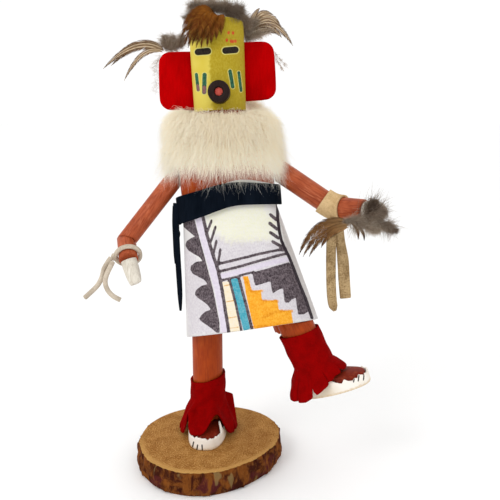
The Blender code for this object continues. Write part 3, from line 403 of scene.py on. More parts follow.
@dataclass(frozen=True)
class PaintedHide:
    """White leather drawn on with pencil and ink; each pigment is a distance on the mesh."""

    name: str
    hide: Colour
    shade: Colour
    pigments: tuple[tuple[str, Colour, Colour, float, float], ...]
    soften: float = 0.35

    def build(self) -> bpy.types.Material:
        """The material."""
        recipe = Recipe(self.name)
        grain = recipe.noise(0.45, 3.0, 0.65)
        cloud = recipe.noise(22.0, 2.0)
        pencil = recipe.noise(0.8, 3.0, 0.7, (1.0, 1.0, 2.0))
        rub = recipe.noise(2.6, 3.0, 0.65, (2.2, 1.0, 0.6))
        colour = recipe.blend(cloud.between(0.38, 0.68), self.hide, self.shade)
        wander = (recipe.noise(2.4, 2.0) - 0.5) * 0.9 + (pencil - 0.5) * 0.5
        for pigment, strong, weak, strength, edge in self.pigments:
            reach = recipe.attribute(pigment) + wander * edge
            cover = reach.between(edge * self.soften, -edge * self.soften)
            worn = pencil.between(0.40, 0.62) * 0.6 + rub.between(0.42, 0.62) * 0.4
            laid = recipe.blend(worn, strong, weak)
            density = pencil.between(0.75, 0.35) * (1 - strength) + strength
            colour = recipe.blend(cover * density, colour, laid)
        recipe.relief(grain * 0.6 + cloud * 0.4, 0.14, 0.5)
        return recipe.finish(colour, grain * 0.15 + 0.62, 0.12)


@dataclass(frozen=True)
class Cloth:
    """Close woven or felted cloth: fine threads, matte."""

    name: str
    light: Colour
    dark: Colour
    thread: float = 0.45

    def build(self) -> bpy.types.Material:
        """The material."""
        recipe = Recipe(self.name)
        fold = recipe.noise(11.0, 2.0, 0.5, (1.0, 1.0, 2.0))
        felt = recipe.noise(self.thread, 3.0, 0.7)
        streak = recipe.noise(1.1, 2.0, 0.6, (1.0, 1.0, 9.0))
        share = fold.between(0.3, 0.7) * 0.6 + streak.between(0.35, 0.7) * 0.3 + felt * 0.1
        recipe.relief(felt * 0.8 + streak * 0.2, 0.16, 0.7)
        return recipe.finish(recipe.blend(share, self.light, self.dark), 0.95, 0.02)


@dataclass(frozen=True)
class Hair:
    """Fur or feather barbs, coloured from root to tip, from shaft to edge and strand by strand."""

    name: str
    stops: tuple[tuple[float, Colour], ...]
    tint: Colour
    shade: Colour = (0.03, 0.012, 0.006)
    bands: tuple[tuple[float, float, Colour, float], ...] = ()
    roughness: float = 0.7
    glow: float = 0.0
    band_edge: float = 0.07

    def build(self) -> bpy.types.Material:
        """The material; its glow stands for light that pale hairs pass to one another."""
        recipe = Recipe(self.name)
        along = recipe.attribute("along")
        tone = recipe.attribute("tone")
        colour: Union[Colour, Signal] = self.stops[0][1]
        for (start, _), (end, stop) in zip(self.stops, self.stops[1:]):
            colour = recipe.blend(along.between(start, end), colour, stop)
        colour = recipe.blend(tone * 0.75, colour, self.tint)
        across = recipe.attribute("across")
        for start, end, band, strength in self.bands:
            begun = across.between(start - self.band_edge, start + self.band_edge)
            inside = begun * across.between(end + self.band_edge, end - self.band_edge)
            colour = recipe.blend(inside * strength, colour, band)
        colour = recipe.blend(recipe.attribute("shade"), colour, self.shade)
        if self.glow:
            recipe.set("Emission Color", colour)
            recipe.set("Emission Strength", self.glow)
        return recipe.finish(colour, tone * 0.1 + self.roughness, 0.08)


def mm(point: Sequence[float]) -> Vector:
    """A place on the doll, given in millimetres above the log's top, in metres."""
    return Vector((point[0], point[1], point[2] + LOG_TOP)) * MM


def mix(first: Vector, second: Vector, share: float) -> Vector:
    """The point a share of the way from the first to the second."""
    return first + (second - first) * share


def smooth_route(points: Sequence[Vector], steps: int) -> list[Vector]:
    """Points along a smooth curve through the given ones.

    Args:
        points: the places that the curve passes.
        steps: how many points each stretch gets.

    Returns:
        The curve's points, the last given one included.
    """
    route = []
    for i in range(len(points) - 1):
        before, start = points[max(i - 1, 0)], points[i]
        end, after = points[i + 1], points[min(i + 2, len(points) - 1)]
        for k in range(steps):
            t = k / steps
            square = (2 * before - 5 * start + 4 * end - after) * t**2
            cube = (3 * start - before - 3 * end + after) * t**3
            route.append(0.5 * (2 * start + (end - before) * t + square + cube))
    return route + [points[-1]]


def as_object(name: str, bm: bmesh.types.BMesh, crease: float = 40.0) -> bpy.types.Object:
    """Turn a finished mesh into an object, smooth but for edges sharper than the crease angle."""
    mesh = bpy.data.meshes.new(name)
    bm.to_mesh(mesh)
    bm.free()
    mesh.shade_smooth()
    mesh.set_sharp_from_angle(angle=math.radians(crease))
    piece = bpy.data.objects.new(name, mesh)
    bpy.context.scene.collection.objects.link(piece)
    return piece


def rounded(piece: bpy.types.Object, levels: int) -> bpy.types.Object:
    """Round a piece with a Subdivision Surface that renders as it shows."""
    modifier = piece.modifiers.new("Subdivision", "SUBSURF")
    modifier.levels = levels
    modifier.render_levels = levels
    return piece


def walled(piece: bpy.types.Object, thickness: float, offset: float = 1.0) -> bpy.types.Object:
    """Give a sheet a wall in millimetres, on its front where the offset is 1 and halved at 0."""
    modifier = piece.modifiers.new("Solidify", "SOLIDIFY")
    modifier.thickness = thickness * MM
    modifier.offset = offset
    return piece


def sliced_tube(columns: int, rows: int, depth: float, caps: bool = False) -> bmesh.types.BMesh:
    """An upright tube of radius 1 round the origin, cut into rows."""
    bm = bmesh.new()
    bmesh.ops.create_cone(
        bm, cap_ends=caps, segments=columns, radius1=1.0, radius2=1.0, depth=depth
    )
    for k in range(1, rows):
        geometry = [*bm.verts, *bm.edges, *bm.faces]
        level = (0, 0, depth * (k / rows - 0.5))
        bmesh.ops.bisect_plane(bm, geom=geometry, plane_co=level, plane_no=(0, 0, 1))
    return bm


def keep_numbers(mesh: bpy.types.Mesh, name: str, values: np.ndarray) -> None:
    """Store one number for each point of a mesh."""
    layer = mesh.attributes.new(name, "FLOAT", "POINT")
    layer.data.foreach_set("value", values.astype(np.float32).ravel())


def unit(vectors: np.ndarray) -> np.ndarray:
    """Vectors of length one, the same ways."""
    return vectors / np.maximum(np.linalg.norm(vectors, axis=-1, keepdims=True), 1e-12)


def outward(turn: np.ndarray) -> np.ndarray:
    """Level directions at angles in radians."""
    return np.stack([np.cos(turn), np.sin(turn), np.zeros_like(turn)], axis=1)


def node_bmesh(node: str) -> bmesh.types.BMesh:
    """A merged copy of a CAD node's mesh, its triangles joined to quads where they lie flat."""
    bm = bmesh.new()
    bm.from_mesh(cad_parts[node].data)
    bm.transform(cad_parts[node].matrix_world)
    bmesh.ops.remove_doubles(bm, verts=bm.verts, dist=2e-6)
    bmesh.ops.join_triangles(
        bm,
        faces=bm.faces,
        angle_face_threshold=math.radians(25),
        angle_shape_threshold=math.radians(60),
    )
    return bm


def refined(name: str, node: str, levels: int = 2, crease: float = 35.0) -> bpy.types.Object:
    """A CAD node's own form, rounded between its real edges.

    Args:
        name: the new piece's name.
        node: the node that it is made from.
        levels: how often it is subdivided.
        crease: edges bent more than this many degrees stay crisp.

    Returns:
        The piece.
    """
    bm = node_bmesh(node)
    layer = bm.edges.layers.float.new("crease_edge")
    for edge in bm.edges:
        if len(edge.link_faces) == 2 and edge.calc_face_angle() > math.radians(crease):
            edge[layer] = 0.85
    return rounded(as_object(name, bm, 60.0), levels)


def dress(
    piece: bpy.types.Object,
    material: bpy.types.Material,
    slot: Slot,
    *nodes: str,
) -> bpy.types.Object:
    """Give a piece its finish and log what it stands for.

    Args:
        piece: the piece.
        material: its finish.
        slot: the record's slot; not used.
        nodes: the CAD nodes that it replaces.

    Returns:
        The piece.
    """
    piece.data.materials.clear()
    piece.data.materials.append(material)
    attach(piece, "root")
    if nodes:
        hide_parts(*nodes)
    LOG.info("%s stands for %s", piece.name, ", ".join(nodes) or "itself")
    return piece


@dataclass(frozen=True)
class Picture:
    """Where the photograph was taken from, and where points fall in it."""

    place: Point = (0.0302, -0.480, 0.2706)
    tilt: float = 77.31
    lens: float = 50.0
    sensor: float = 36.0
    size: float = 500.0

    def camera(self) -> None:
        """Make the camera and set it as the scene's."""
        data = bpy.data.cameras.new("picture_camera")
        data.lens = self.lens
        data.sensor_width = self.sensor
        data.clip_start = 0.01
        camera = bpy.data.objects.new("picture_camera", data)
        camera.location = self.place
        camera.rotation_euler = Euler((math.radians(self.tilt), 0, 0))
        bpy.context.scene.collection.objects.link(camera)
        bpy.context.scene.camera = camera

    def fall(self, points: np.ndarray) -> np.ndarray:
        """Where points fall in the picture, in its pixels.

        Args:
            points: places in metres, one a row.

        Returns:
            Pixels from the picture's upper left corner, one pair a row.
        """
        tilt = math.radians(self.tilt)
        ahead = np.array([0.0, math.sin(tilt), -math.cos(tilt)])
        up = np.array([0.0, math.cos(tilt), math.sin(tilt)])
        away = points - np.array(self.place)
        scale = self.lens / self.sensor * self.size / (away @ ahead)
        middle = self.size / 2
        return np.stack([middle + away[:, 0] * scale, middle - (away @ up) * scale], 1)

    def spot(self, spot: Point) -> np.ndarray:
        """The place that falls on a pixel.

        Args:
            spot: the pixel across and down, and the place's own Y in millimetres.

        Returns:
            The place in metres.
        """
        tilt = math.radians(self.tilt)
        scale = self.lens / self.sensor * self.size
        right, down = (spot[0] - self.size / 2) / scale, (spot[1] - self.size / 2) / scale
        ahead = np.array([0.0, math.sin(tilt), -math.cos(tilt)])
        up = np.array([0.0, math.cos(tilt), math.sin(tilt)])
        way = ahead + np.array([right, 0.0, 0.0]) - up * down
        return np.array(self.place) + way * ((spot[2] * MM - self.place[1]) / way[1])


PICTURE = Picture()


def mesh_points(piece: bpy.types.Object) -> np.ndarray:
    """The mesh's points, one a row."""
    points = np.empty(len(piece.data.vertices) * 3, np.float32)
    piece.data.vertices.foreach_get("co", points)
    return points.reshape(-1, 3).astype(float)


def mesh_normals(piece: bpy.types.Object) -> np.ndarray:
    """The mesh's normals, one a row."""
    normals = np.empty(len(piece.data.vertices) * 3, np.float32)
    piece.data.vertices.foreach_get("normal", normals)
    return normals.reshape(-1, 3).astype(float)


class Drawing:
    """Distances from shapes drawn in the picture's pixels, one number for each point of a mesh."""

    def __init__(self, points: np.ndarray, facing: np.ndarray) -> None:
        """Keep where the points fall; those that face away are far from every shape.

        Args:
            points: the points in pixels, one a row.
            facing: true for points on the side that the drawing is on.
        """
        self.points = points
        self.far = np.where(facing, 0.0, 99.0)
        self.layers: dict[str, np.ndarray] = {}

    @classmethod
    def on(cls, piece: bpy.types.Object) -> "Drawing":
        """A drawing on the side of a piece that the picture sees."""
        points = mesh_points(piece)
        facing = (mesh_normals(piece) * (np.array(PICTURE.place) - points)).sum(axis=1) > 0
        return cls(PICTURE.fall(points), facing)

    def _keep(self, pigment: str, distance: np.ndarray) -> None:
        """Join a shape to a pigment's layer."""
        old = self.layers.get(pigment, np.full(len(self.points), 99.0))
        self.layers[pigment] = np.minimum(old, distance + self.far)

    def _from_line(self, line: Sequence[Sequence[float]]) -> np.ndarray:
        """Distance of each point from a line of straight stretches."""
        best = np.full(len(self.points), 1e9)
        for start, end in zip(line, line[1:]):
            a, b = np.array(start, float), np.array(end, float)
            run = b - a
            share = np.clip((self.points - a) @ run / max(run @ run, 1e-9), 0, 1)
            best = np.minimum(best, np.linalg.norm(self.points - a - share[:, None] * run, axis=1))
        return best

    def stroke(self, pigment: str, line: Sequence[Sequence[float]], width: float) -> None:
        """Draw a line of a width."""
        self._keep(pigment, self._from_line(line) - width / 2)

    def dot(self, pigment: str, centre: Sequence[float], width: float, high: float = 0.0) -> None:
        """Draw a dot, or an oval where high is given."""
        squash = np.array([1.0, width / (high or width)])
        away = np.linalg.norm((self.points - np.array(centre)) * squash, axis=1)
        self._keep(pigment, away - width / 2)

    def area(self, pigment: str, outline: Sequence[Sequence[float]]) -> None:
        """Fill an outline."""
        line = [*outline, outline[0]]
        distance = self._from_line(line)
        inside = np.zeros(len(self.points), bool)
        x, y = self.points[:, 0], self.points[:, 1]
        for (ax, ay), (bx, by) in zip(line, line[1:]):
            crosses = (ay > y) != (by > y)
            rise = np.where(by == ay, 1e-9, by - ay)
            inside ^= crosses & (x < (bx - ax) * (y - ay) / rise + ax)
        self._keep(pigment, np.where(inside, -distance, distance))

    def store(self, piece: bpy.types.Object) -> None:
        """Write the layers to the mesh."""
        for name, values in self.layers.items():
            keep_numbers(piece.data, name, values)


def applied(piece: bpy.types.Object) -> bpy.types.Object:
    """Make a piece's modifiers part of its mesh."""
    graph = bpy.context.evaluated_depsgraph_get()
    mesh = bpy.data.meshes.new_from_object(piece.evaluated_get(graph))
    piece.modifiers.clear()
    piece.data = mesh
    return piece


@dataclass(frozen=True)
class Strands:
    """Many slim tapered strands in one mesh, each a copy of one modelled spike."""

    stations: int = 4
    sides: int = 3

    def spike(self) -> tuple[np.ndarray, np.ndarray, np.ndarray]:
        """Model one spike.

        Returns:
            The station and the side of each of its points, and its triangles.
        """
        bm = sliced_tube(self.sides, self.stations - 1, 1.0, caps=True)
        bmesh.ops.translate(bm, verts=bm.verts, vec=(0, 0, 0.5))
        tip = [vert for vert in bm.verts if vert.co.z > 0.999]
        bmesh.ops.pointmerge(bm, verts=tip, merge_co=(0, 0, 1))
        bmesh.ops.triangulate(bm, faces=bm.faces)
        bm.verts.index_update()
        heights = np.array([vert.co.z for vert in bm.verts])
        turns = np.array([math.atan2(vert.co.y, vert.co.x) for vert in bm.verts])
        faces = np.array([[vert.index for vert in face.verts] for face in bm.faces])
        bm.free()
        return np.round(heights * (self.stations - 1)).astype(int), turns, faces

    def mesh(
        self,
        name: str,
        paths: np.ndarray,
        widths: np.ndarray,
        numbers: Mapping[str, np.ndarray],
        blunt: float = 0.0,
    ) -> bpy.types.Object:
        """Set a spike along each path.

        Args:
            name: the piece's name.
            paths: the strands' points in metres: strand, station, axis.
            widths: each strand's thickest width in metres.
            numbers: the attributes that the mesh carries, one value a strand or a station.
            blunt: how thick the last station before the tip stays, as a share.

        Returns:
            The piece.
        """
        station, turn, faces = self.spike()
        count = len(paths)
        ahead = unit(np.gradient(paths, axis=1))
        across = unit(np.cross(ahead, np.array([0.31, 0.17, 0.93])))
        over = np.cross(ahead, across)
        share = np.linspace(0, 1, self.stations)
        taper = np.maximum(1 - share**1.6, 0.0) * (1 - blunt) + blunt
        taper[0] *= 0.7
        taper[-1] = 0.0
        radius = widths[:, None] / 2 * taper[None, :]
        cosine, sine = np.cos(turn), np.sin(turn)
        spread = across[:, station] * cosine[None, :, None] + over[:, station] * sine[None, :, None]
        points = paths[:, station] + spread * radius[:, station, None]
        size = len(station)
        triangles = faces[None] + (np.arange(count) * size)[:, None, None]
        mesh = bpy.data.meshes.new(name)
        mesh.vertices.add(count * size)
        mesh.vertices.foreach_set("co", points.astype(np.float32).ravel())
        mesh.loops.add(triangles.size)
        mesh.loops.foreach_set("vertex_index", triangles.astype(np.int32).ravel())
        mesh.polygons.add(triangles.size // 3)
        mesh.polygons.foreach_set("loop_start", np.arange(0, triangles.size, 3, dtype=np.int32))
        mesh.update(calc_edges=True)
        mesh.shade_smooth()
        for key, values in numbers.items():
            spots = values[:, station] if values.ndim == 2 else np.repeat(values[:, None], size, 1)
            keep_numbers(mesh, key, spots)
        piece = bpy.data.objects.new(name, mesh)
        bpy.context.scene.collection.objects.link(piece)
        return piece


@dataclass(frozen=True)
class Ribbon:
    """A flat strip along spots of the picture, each a pixel and a depth."""

    name: str
    spots: tuple[Point, ...]
    widths: tuple[float, ...]
    facing: Point = (0.0, -1.0, 0.0)
    thickness: float = 1.3
    steps: int = 8

    def build(self) -> bpy.types.Object:
        """A grid bent along the route, with its wall and rounded edges."""
        route = smooth_route([Vector(PICTURE.spot(spot)) for spot in self.spots], self.steps)
        last = len(route) - 1
        marks = np.linspace(0, last, len(self.widths))
        bm = bmesh.new()
        bmesh.ops.create_grid(bm, x_segments=4, y_segments=last, size=1.0)
        for vert in bm.verts:
            k = round((vert.co.y + 1) / 2 * last)
            ahead = (route[min(k + 1, last)] - route[max(k - 1, 0)]).normalized()
            aside = ahead.cross(Vector(self.facing)).normalized()
            half = float(np.interp(k, marks, self.widths)) / 2 * MM
            cup = Vector(self.facing) * (0.10 * half * vert.co.x**2)
            vert.co = route[k] + aside * (half * vert.co.x) - cup
        bmesh.ops.recalc_face_normals(bm, faces=bm.faces)
        return rounded(walled(as_object(self.name, bm, 50.0), self.thickness, 0.0), 1)


@dataclass(frozen=True)
class LogSlice:
    """The slice of log that the doll stands on."""

    radius: float = 52.5
    thickness: float = 18.0
    waves: tuple[tuple[int, float, float], ...] = ((1, 0.047, 110), (2, 0.047, 46), (3, 0.020, 18))
    bark: float = 1.0
    steps: int = 300

    def outline(self, turn: float) -> float:
        """The slice's radius in the direction of an angle."""
        wave = sum(share * math.cos(k * (turn - math.radians(at))) for k, share, at in self.waves)
        return self.radius * (1 + wave)

    def mesh(self) -> bmesh.types.BMesh:
        """Turn the slice's profile, then push its bark to the outline."""
        levels = (
            (0.0, -1.0), (0.07, 0.1), (0.2, 0.7), (0.36, 0.9), (0.52, 0.9), (0.7, 0.7),
            (0.86, 0.3), (0.95, -0.1), (1.0, -0.7),
        )
        bm = bmesh.new()
        profile = [bm.verts.new((0, 0, 0))]
        profile += [bm.verts.new((share, 0, 0)) for share in (0.3, 0.7)]
        profile += [bm.verts.new((1, 0, height)) for height, _ in levels]
        profile += [bm.verts.new((share, 0, 1)) for share in (0.97, 0.9, 0.75, 0.55, 0.35, 0.15, 0)]
        edges = [bm.edges.new(pair) for pair in zip(profile, profile[1:])]
        bmesh.ops.spin(
            bm,
            geom=edges,
            cent=(0, 0, 0),
            axis=(0, 0, 1),
            angle=math.tau,
            steps=self.steps,
            use_merge=True,
        )
        bmesh.ops.remove_doubles(bm, verts=bm.verts, dist=1e-6)
        bmesh.ops.recalc_face_normals(bm, faces=bm.faces)
        heights = [height for height, _ in levels]
        swells = [swell for _, swell in levels]
        rim = bm.verts.layers.float.new("rim")
        side = bm.verts.layers.float.new("side")
        for vert in bm.verts:
            turn = math.atan2(vert.co.y, vert.co.x)
            share = math.hypot(vert.co.x, vert.co.y)
            height = vert.co.z
            out = self.outline(turn)
            if share > 0.999:
                furrow = math.sin(11 * turn + 4 * height) + 0.6 * math.sin(23 * turn - 5 * height)
                fine = 0.35 * math.sin(61 * turn + 3 * height)
                fine += 0.25 * math.sin(97 * turn - 2 * height)
                inner = 0 < height < 1
                swell = np.interp(height, heights, swells)
                out += self.bark * (swell + (0.6 * furrow + fine) * inner)
            vert[rim] = share
            vert[side] = 1.0 if share > 0.999 and height < 0.99 else 0.0
            across = out * share * MM
            rise = height * self.thickness * MM
            vert.co = (across * math.cos(turn), across * math.sin(turn), rise)
        return bm

    def build(self) -> None:
        """Make the slice and dress it."""
        piece = as_object("log_slice", self.mesh(), 50.0)
        dress(piece, SawnLog().build(), Slot.LOG, "log_base")


@dataclass(frozen=True)
class Limbs:
    """The dowels of the body, and the carved hands and feet."""

    leg: StainedWood = StainedWood(
        "leg_stain", (0.38, 0.052, 0.004), (0.25, 0.028, 0.003), (0.46, 0.10, 0.015), wear=0.2,
    )
    arm: StainedWood = StainedWood(
        "arm_stain", (0.46, 0.10, 0.036), (0.22, 0.034, 0.010), (0.60, 0.20, 0.10), 0.42,
        wear=0.2,
    )
    foot: StainedWood = StainedWood(
        "foot_stain", (0.20, 0.016, 0.003), (0.10, 0.006, 0.002), (0.30, 0.05, 0.015), 0.6,
    )
    hand: StainedWood = StainedWood(
        "hand_paint", (0.72, 0.67, 0.58), (0.48, 0.43, 0.35), (0.84, 0.80, 0.72), 0.55,
    )

    def grains(self) -> dict[str, tuple[StainedWood, Slot, Point]]:
        """Each dowel's stain, slot and the way that its grain runs."""
        upright = (0.0, 0.0, 1.0)
        return {
            "leg_standing": (self.leg, Slot.LEG, upright),
            "thigh_raised": (self.leg, Slot.LEG, (23.0, -13.5, -65.5)),
            "shin_raised": (self.leg, Slot.LEG, (-23.9, 7.6, 50.4)),
            "torso": (self.leg, Slot.LEG, upright),
            "head_block": (self.leg, Slot.HEAD, upright),
            "arm_upper_right": (self.arm, Slot.ARM, (-30.0, -6.0, -52.0)),
            "arm_fore_right": (self.arm, Slot.ARM, (4.0, -17.0, -9.7)),
            "arm_upper_left": (self.arm, Slot.ARM, (42.0, -10.0, -26.0)),
            "arm_fore_left": (self.arm, Slot.ARM, (28.0, -17.0, 0.0)),
        }

    def build(self) -> None:
        """Round each dowel and stain it."""
        foot, hand = self.foot.build(), self.hand.build()
        for node, (stain, slot, axis) in self.grains().items():
            finish = stain.along(f"{node}_stain", axis).build()
            dress(refined(f"{node}_dowel", node), finish, slot, node)
        for node in ("foot_standing", "foot_raised"):
            dress(refined(f"{node}_carving", node, crease=50), foot, Slot.FOOT, node)
        for node in ("hand_right", "hand_left"):
            dress(refined(f"{node}_carving", node, crease=50), hand, Slot.HAND, node)


def lean(*angles: Point) -> Matrix:
    """Rotations given in degrees, the last one first."""
    turn = Matrix.Identity(3)
    for angle in angles:
        turn = turn @ Euler([math.radians(value) for value in angle]).to_matrix()
    return turn


@dataclass(frozen=True)
class Tongue:
    """A tongue of a wrap's hem, and the slit that follows it.

    Its direction is in degrees, and how far out and how high it reaches in millimetres. The sharper
    the slit, the narrower it is.
    """

    at: float
    out: float
    height: float
    slit: float = 12.0
    sharpness: float = 22.0
    slit_in: float = 0.14


@dataclass(frozen=True)
class Wrap:
    """A red suede wrap: a sleeve on the shin whose lower edge is cut into spreading tongues."""

    side: str
    ankle: Point
    turn: Point
    leg: float
    rim_tilt: tuple[float, float]
    flare: float
    tongues: tuple[Tongue, ...]
    shin_top: Union[Point, None] = None
    height: float = 45.0
    thickness: float = 1.3
    gap: float = 0.3
    columns: int = 156
    rows: int = 44

    def hem(self, turn: float) -> tuple[float, float]:
        """How far out and how high the hem lies in the direction of an angle in degrees."""
        ordered = sorted(self.tongues, key=lambda tongue: tongue.at % 360)
        pairs = zip(ordered, ordered[1:] + ordered[:1])
        this, after = next(
            pair for pair in pairs if (turn - pair[0].at) % 360 <= (pair[1].at - pair[0].at) % 360
        )
        share = ((turn - this.at) % 360) / ((after.at - this.at) % 360)
        notch = math.sin(math.pi * share) ** this.sharpness
        out = this.out + (after.out - this.out) * share
        height = this.height + (after.height - this.height) * share
        return out * (1 - this.slit_in * notch), height + this.slit * notch

    def mesh(self) -> bmesh.types.BMesh:
        """A tube of quads bent to the wrap."""
        rotation = lean(self.turn)
        slope = Vector((0, 0, 0))
        if self.shin_top:
            way = rotation.inverted() @ (Vector(self.shin_top) - Vector(self.ankle))
            slope = Vector((way.x, way.y, 0)) / way.z
        inner = (self.leg / 2 + self.gap) * math.hypot(1.0, slope.length)
        bm = sliced_tube(self.columns, self.rows, 2.0)
        for vert in bm.verts:
            turn = math.atan2(vert.co.y, vert.co.x)
            share = vert.co.z + 1
            way = Vector((math.cos(turn), math.sin(turn), 0))
            out, low = self.hem(math.degrees(turn))
            out = max(out, inner + self.thickness)
            flare = max(self.flare, low + 4.0)
            top = self.height + way.x * self.rim_tilt[0] + way.y * self.rim_tilt[1]
            fall = min(share, 1.0)
            z = low + (flare - low) * fall + (top - flare) * max(share - 1.0, 0.0)
            ease = (fall * fall * (3 - 2 * fall)) ** 0.8
            crumple = 0.25 * math.sin(5 * turn + 0.35 * z) + 0.2 * math.sin(9 * turn - 0.5 * z + 1)
            radius = out + (inner - out) * ease + (0.25 + crumple) * 0.6
            spot = way * radius + slope * z + Vector((0, 0, z))
            vert.co = mm(self.ankle) + rotation @ spot * MM
        bmesh.ops.recalc_face_normals(bm, faces=bm.faces)
        return bm

    def build(self, suede: bpy.types.Material) -> None:
        """Give the tube its wall and dress it."""
        piece = walled(as_object(f"wrap_{self.side}", self.mesh(), 60.0), self.thickness)
        dress(piece, suede, Slot.SUEDE, f"boot_wrap_{self.side}")


@dataclass(frozen=True)
class Band:
    """The pale band round a moccasin: its upper edge is torn into points, and ink marks its toe."""

    side: str
    ankle: Point
    turn: Point
    peaks: tuple[tuple[float, float, float], ...]
    marks: tuple[tuple[tuple[float, float], tuple[float, float]], ...]
    length: float = 52.2
    width: float = 28.0
    heel: float = 20.3
    height: float = 8.2
    thickness: float = 1.2
    columns: int = 240
    rows: int = 16

    def point(self, turn: float, share: float) -> Vector:
        """A point of the band's inner face: the share goes from its lower edge to its upper one."""
        along, side = math.sin(turn), math.cos(turn)
        narrow = 1 - 0.10 * max(along, 0.0)
        across = math.copysign(abs(side) ** 0.72, side) * narrow
        rise = 0.35 * math.sin(23 * turn) + 0.3 * math.sin(37 * turn + 1.0)
        for at, high, wide in self.peaks:
            away = (math.degrees(turn) - at + 180) % 360 - 180
            rise += high * max(1 - abs(away) / wide, 0.0)
        level = share * (self.height + rise)
        inset = self.thickness + 0.30 * max(level - self.height, 0.0)
        x = (self.width / 2 - inset) * across
        y = self.heel - self.length / 2 + (self.length / 2 - inset) * along
        return mm(self.ankle) + lean(self.turn) @ Vector((x, y, level)) * MM

    def build(self) -> None:
        """Make the band, ink it and dress it."""
        bm = sliced_tube(self.columns, self.rows, 1.0)
        for vert in bm.verts:
            vert.co = self.point(math.atan2(vert.co.y, vert.co.x), vert.co.z + 0.5)
        bmesh.ops.recalc_face_normals(bm, faces=bm.faces)
        piece = applied(walled(as_object(f"band_{self.side}", bm, 60.0), self.thickness))
        drawing = Drawing.on(piece)
        for start, end in self.marks:
            drawing.stroke("ink", (start, end), 1.3)
        drawing.store(piece)
        upright = lean(self.turn).inverted()
        spots = mesh_points(piece)
        low = np.array([(upright @ (Vector(spot) - mm(self.ankle))).z for spot in spots])
        keep_numbers(piece.data, "rim", low / MM - 1.2)
        pigments = (
            ("rim", (0.62, 0.46, 0.28), (0.74, 0.60, 0.42), 0.75, 2.4),
            ("ink", (0.015, 0.010, 0.008), (0.04, 0.03, 0.025), 0.95, 0.4),
        )
        finish = PaintedHide(
            f"band_hide_{self.side}", (0.88, 0.83, 0.76), (0.72, 0.62, 0.48), pigments,
        )
        dress(piece, finish.build(), Slot.BAND, f"moccasin_band_{self.side}")


@dataclass(frozen=True)
class Boots:
    """The red wraps with their cut tongues, and the pale bands of the moccasins."""

    suede: Suede = Suede("boot_suede", (0.27, 0.0003, 0.0005), (0.15, 0.0002, 0.0003), 0.5, 0.2)
    bands: tuple[Band, ...] = (
        Band(
            "standing",
            (-1.6, 11.0, 0.3),
            (0.0, 0.0, -3.4),
            ((-152, 7.5, 5.0), (-30, 7.5, 5.0), (-100, 1.2, 14.0)),
            (
                ((197.6, 445), (196.6, 452)), ((202.0, 445), (202.4, 452)),
                ((193.6, 442), (192.6, 447)),
            ),
        ),
        Band(
            "raised",
            (83.4, -28.0, 51.0),
            (-19.0, 0.0, 79.0),
            ((150, 3.0, 10.0), (182, 4.0, 14.0), (205, 1.5, 10.0), (236, 1.5, 12.0)),
            (
                ((354.5, 376), (353.6, 382)), ((359, 375.5), (358.2, 381)),
                ((364, 375), (363.4, 380)),
            ),
            height=6.4,
        ),
    )
    standing: Wrap = Wrap(
        "standing",
        (-1.6, 11.0, 0.3),
        (0.0, 0.0, -3.4),
        23.0,
        (3.0, 0.5),
        30.0,
        (
            Tongue(-106, 26.5, 8.6, 16.0, 3.0),
            Tongue(-28, 20.0, 3.2, 10.0, 26.0),
            Tongue(6, 20.0, 1.6, 24.0, 12.0),
            Tongue(44, 24.0, 1.4),
            Tongue(92, 25.0, 1.4),
            Tongue(135, 24.0, 1.4),
            Tongue(172, 21.5, 1.4, 9.0, 24.0),
            Tongue(212, 20.5, 2.6, 15.0, 5.0),
        ),
    )
    raised: Wrap = Wrap(
        "raised",
        (83.4, -28.0, 51.0),
        (-19.0, 0.0, 79.0),
        24.8,
        (-1.0, 0.0),
        22.0,
        (
            Tongue(-92, 19.5, 12.8, 4.0),
            Tongue(-45, 17.5, 13.0, 4.0),
            Tongue(5, 17.5, 9.5, 7.0),
            Tongue(60, 22.0, 3.0, 8.0),
            Tongue(108, 24.5, 1.6, 0.0),
            Tongue(150, 22.0, 2.0, 9.0, 40.0),
            Tongue(186, 17.6, 6.6, 1.5),
            Tongue(226, 17.2, 12.2, 3.0),
        ),
        (59.5, -20.4, 101.4),
    )

    def build(self) -> None:
        """Make both boots."""
        suede = self.suede.build()
        for wrap in (self.standing, self.raised):
            wrap.build(suede)
        for band in self.bands:
            band.build()


@dataclass(frozen=True)
class Waist:
    """The torso's section and lean, which the kilt and the sash follow."""

    place: Point = (14.6, 10.0, 187.0)
    width: float = 66.0
    depth: float = 40.0
    squareness: float = 4.0
    sash_height: float = 16.5
    sash_drop: float = 10.5
    gap: float = 0.3

    def turn(self) -> Matrix:
        """How the torso leans."""
        return lean((0, -5.0, 0), (-3.0, 0, 0))

    def point(self, turn: float, margin: float, height: float) -> Vector:
        """A point round the torso.

        Args:
            turn: the direction in radians.
            margin: how far outside the torso, in millimetres.
            height: the height from the waist, in millimetres.

        Returns:
            The point in metres.
        """
        across, deep = self.width / 2 + margin, self.depth / 2 + margin
        c, s = math.cos(turn), math.sin(turn)
        power = self.squareness
        radius = (abs(c / across) ** power + abs(s / deep) ** power) ** (-1 / power)
        return mm(self.place) + self.turn() @ Vector((radius * c, radius * s, height)) * MM

    def sash_middle(self, turn: float) -> float:
        """The height of the sash's middle: it rides up in front and to the left."""
        ride = 2.9 * math.cos(turn) + 7.8 * max(-math.sin(turn), 0.0) ** 1.4
        return ride - self.sash_drop

    def sash_half(self, turn: float) -> float:
        """Half of the sash's height, pulled narrower at the doll's left."""
        return self.sash_height * (1 - 0.16 * math.cos(turn)) / 2
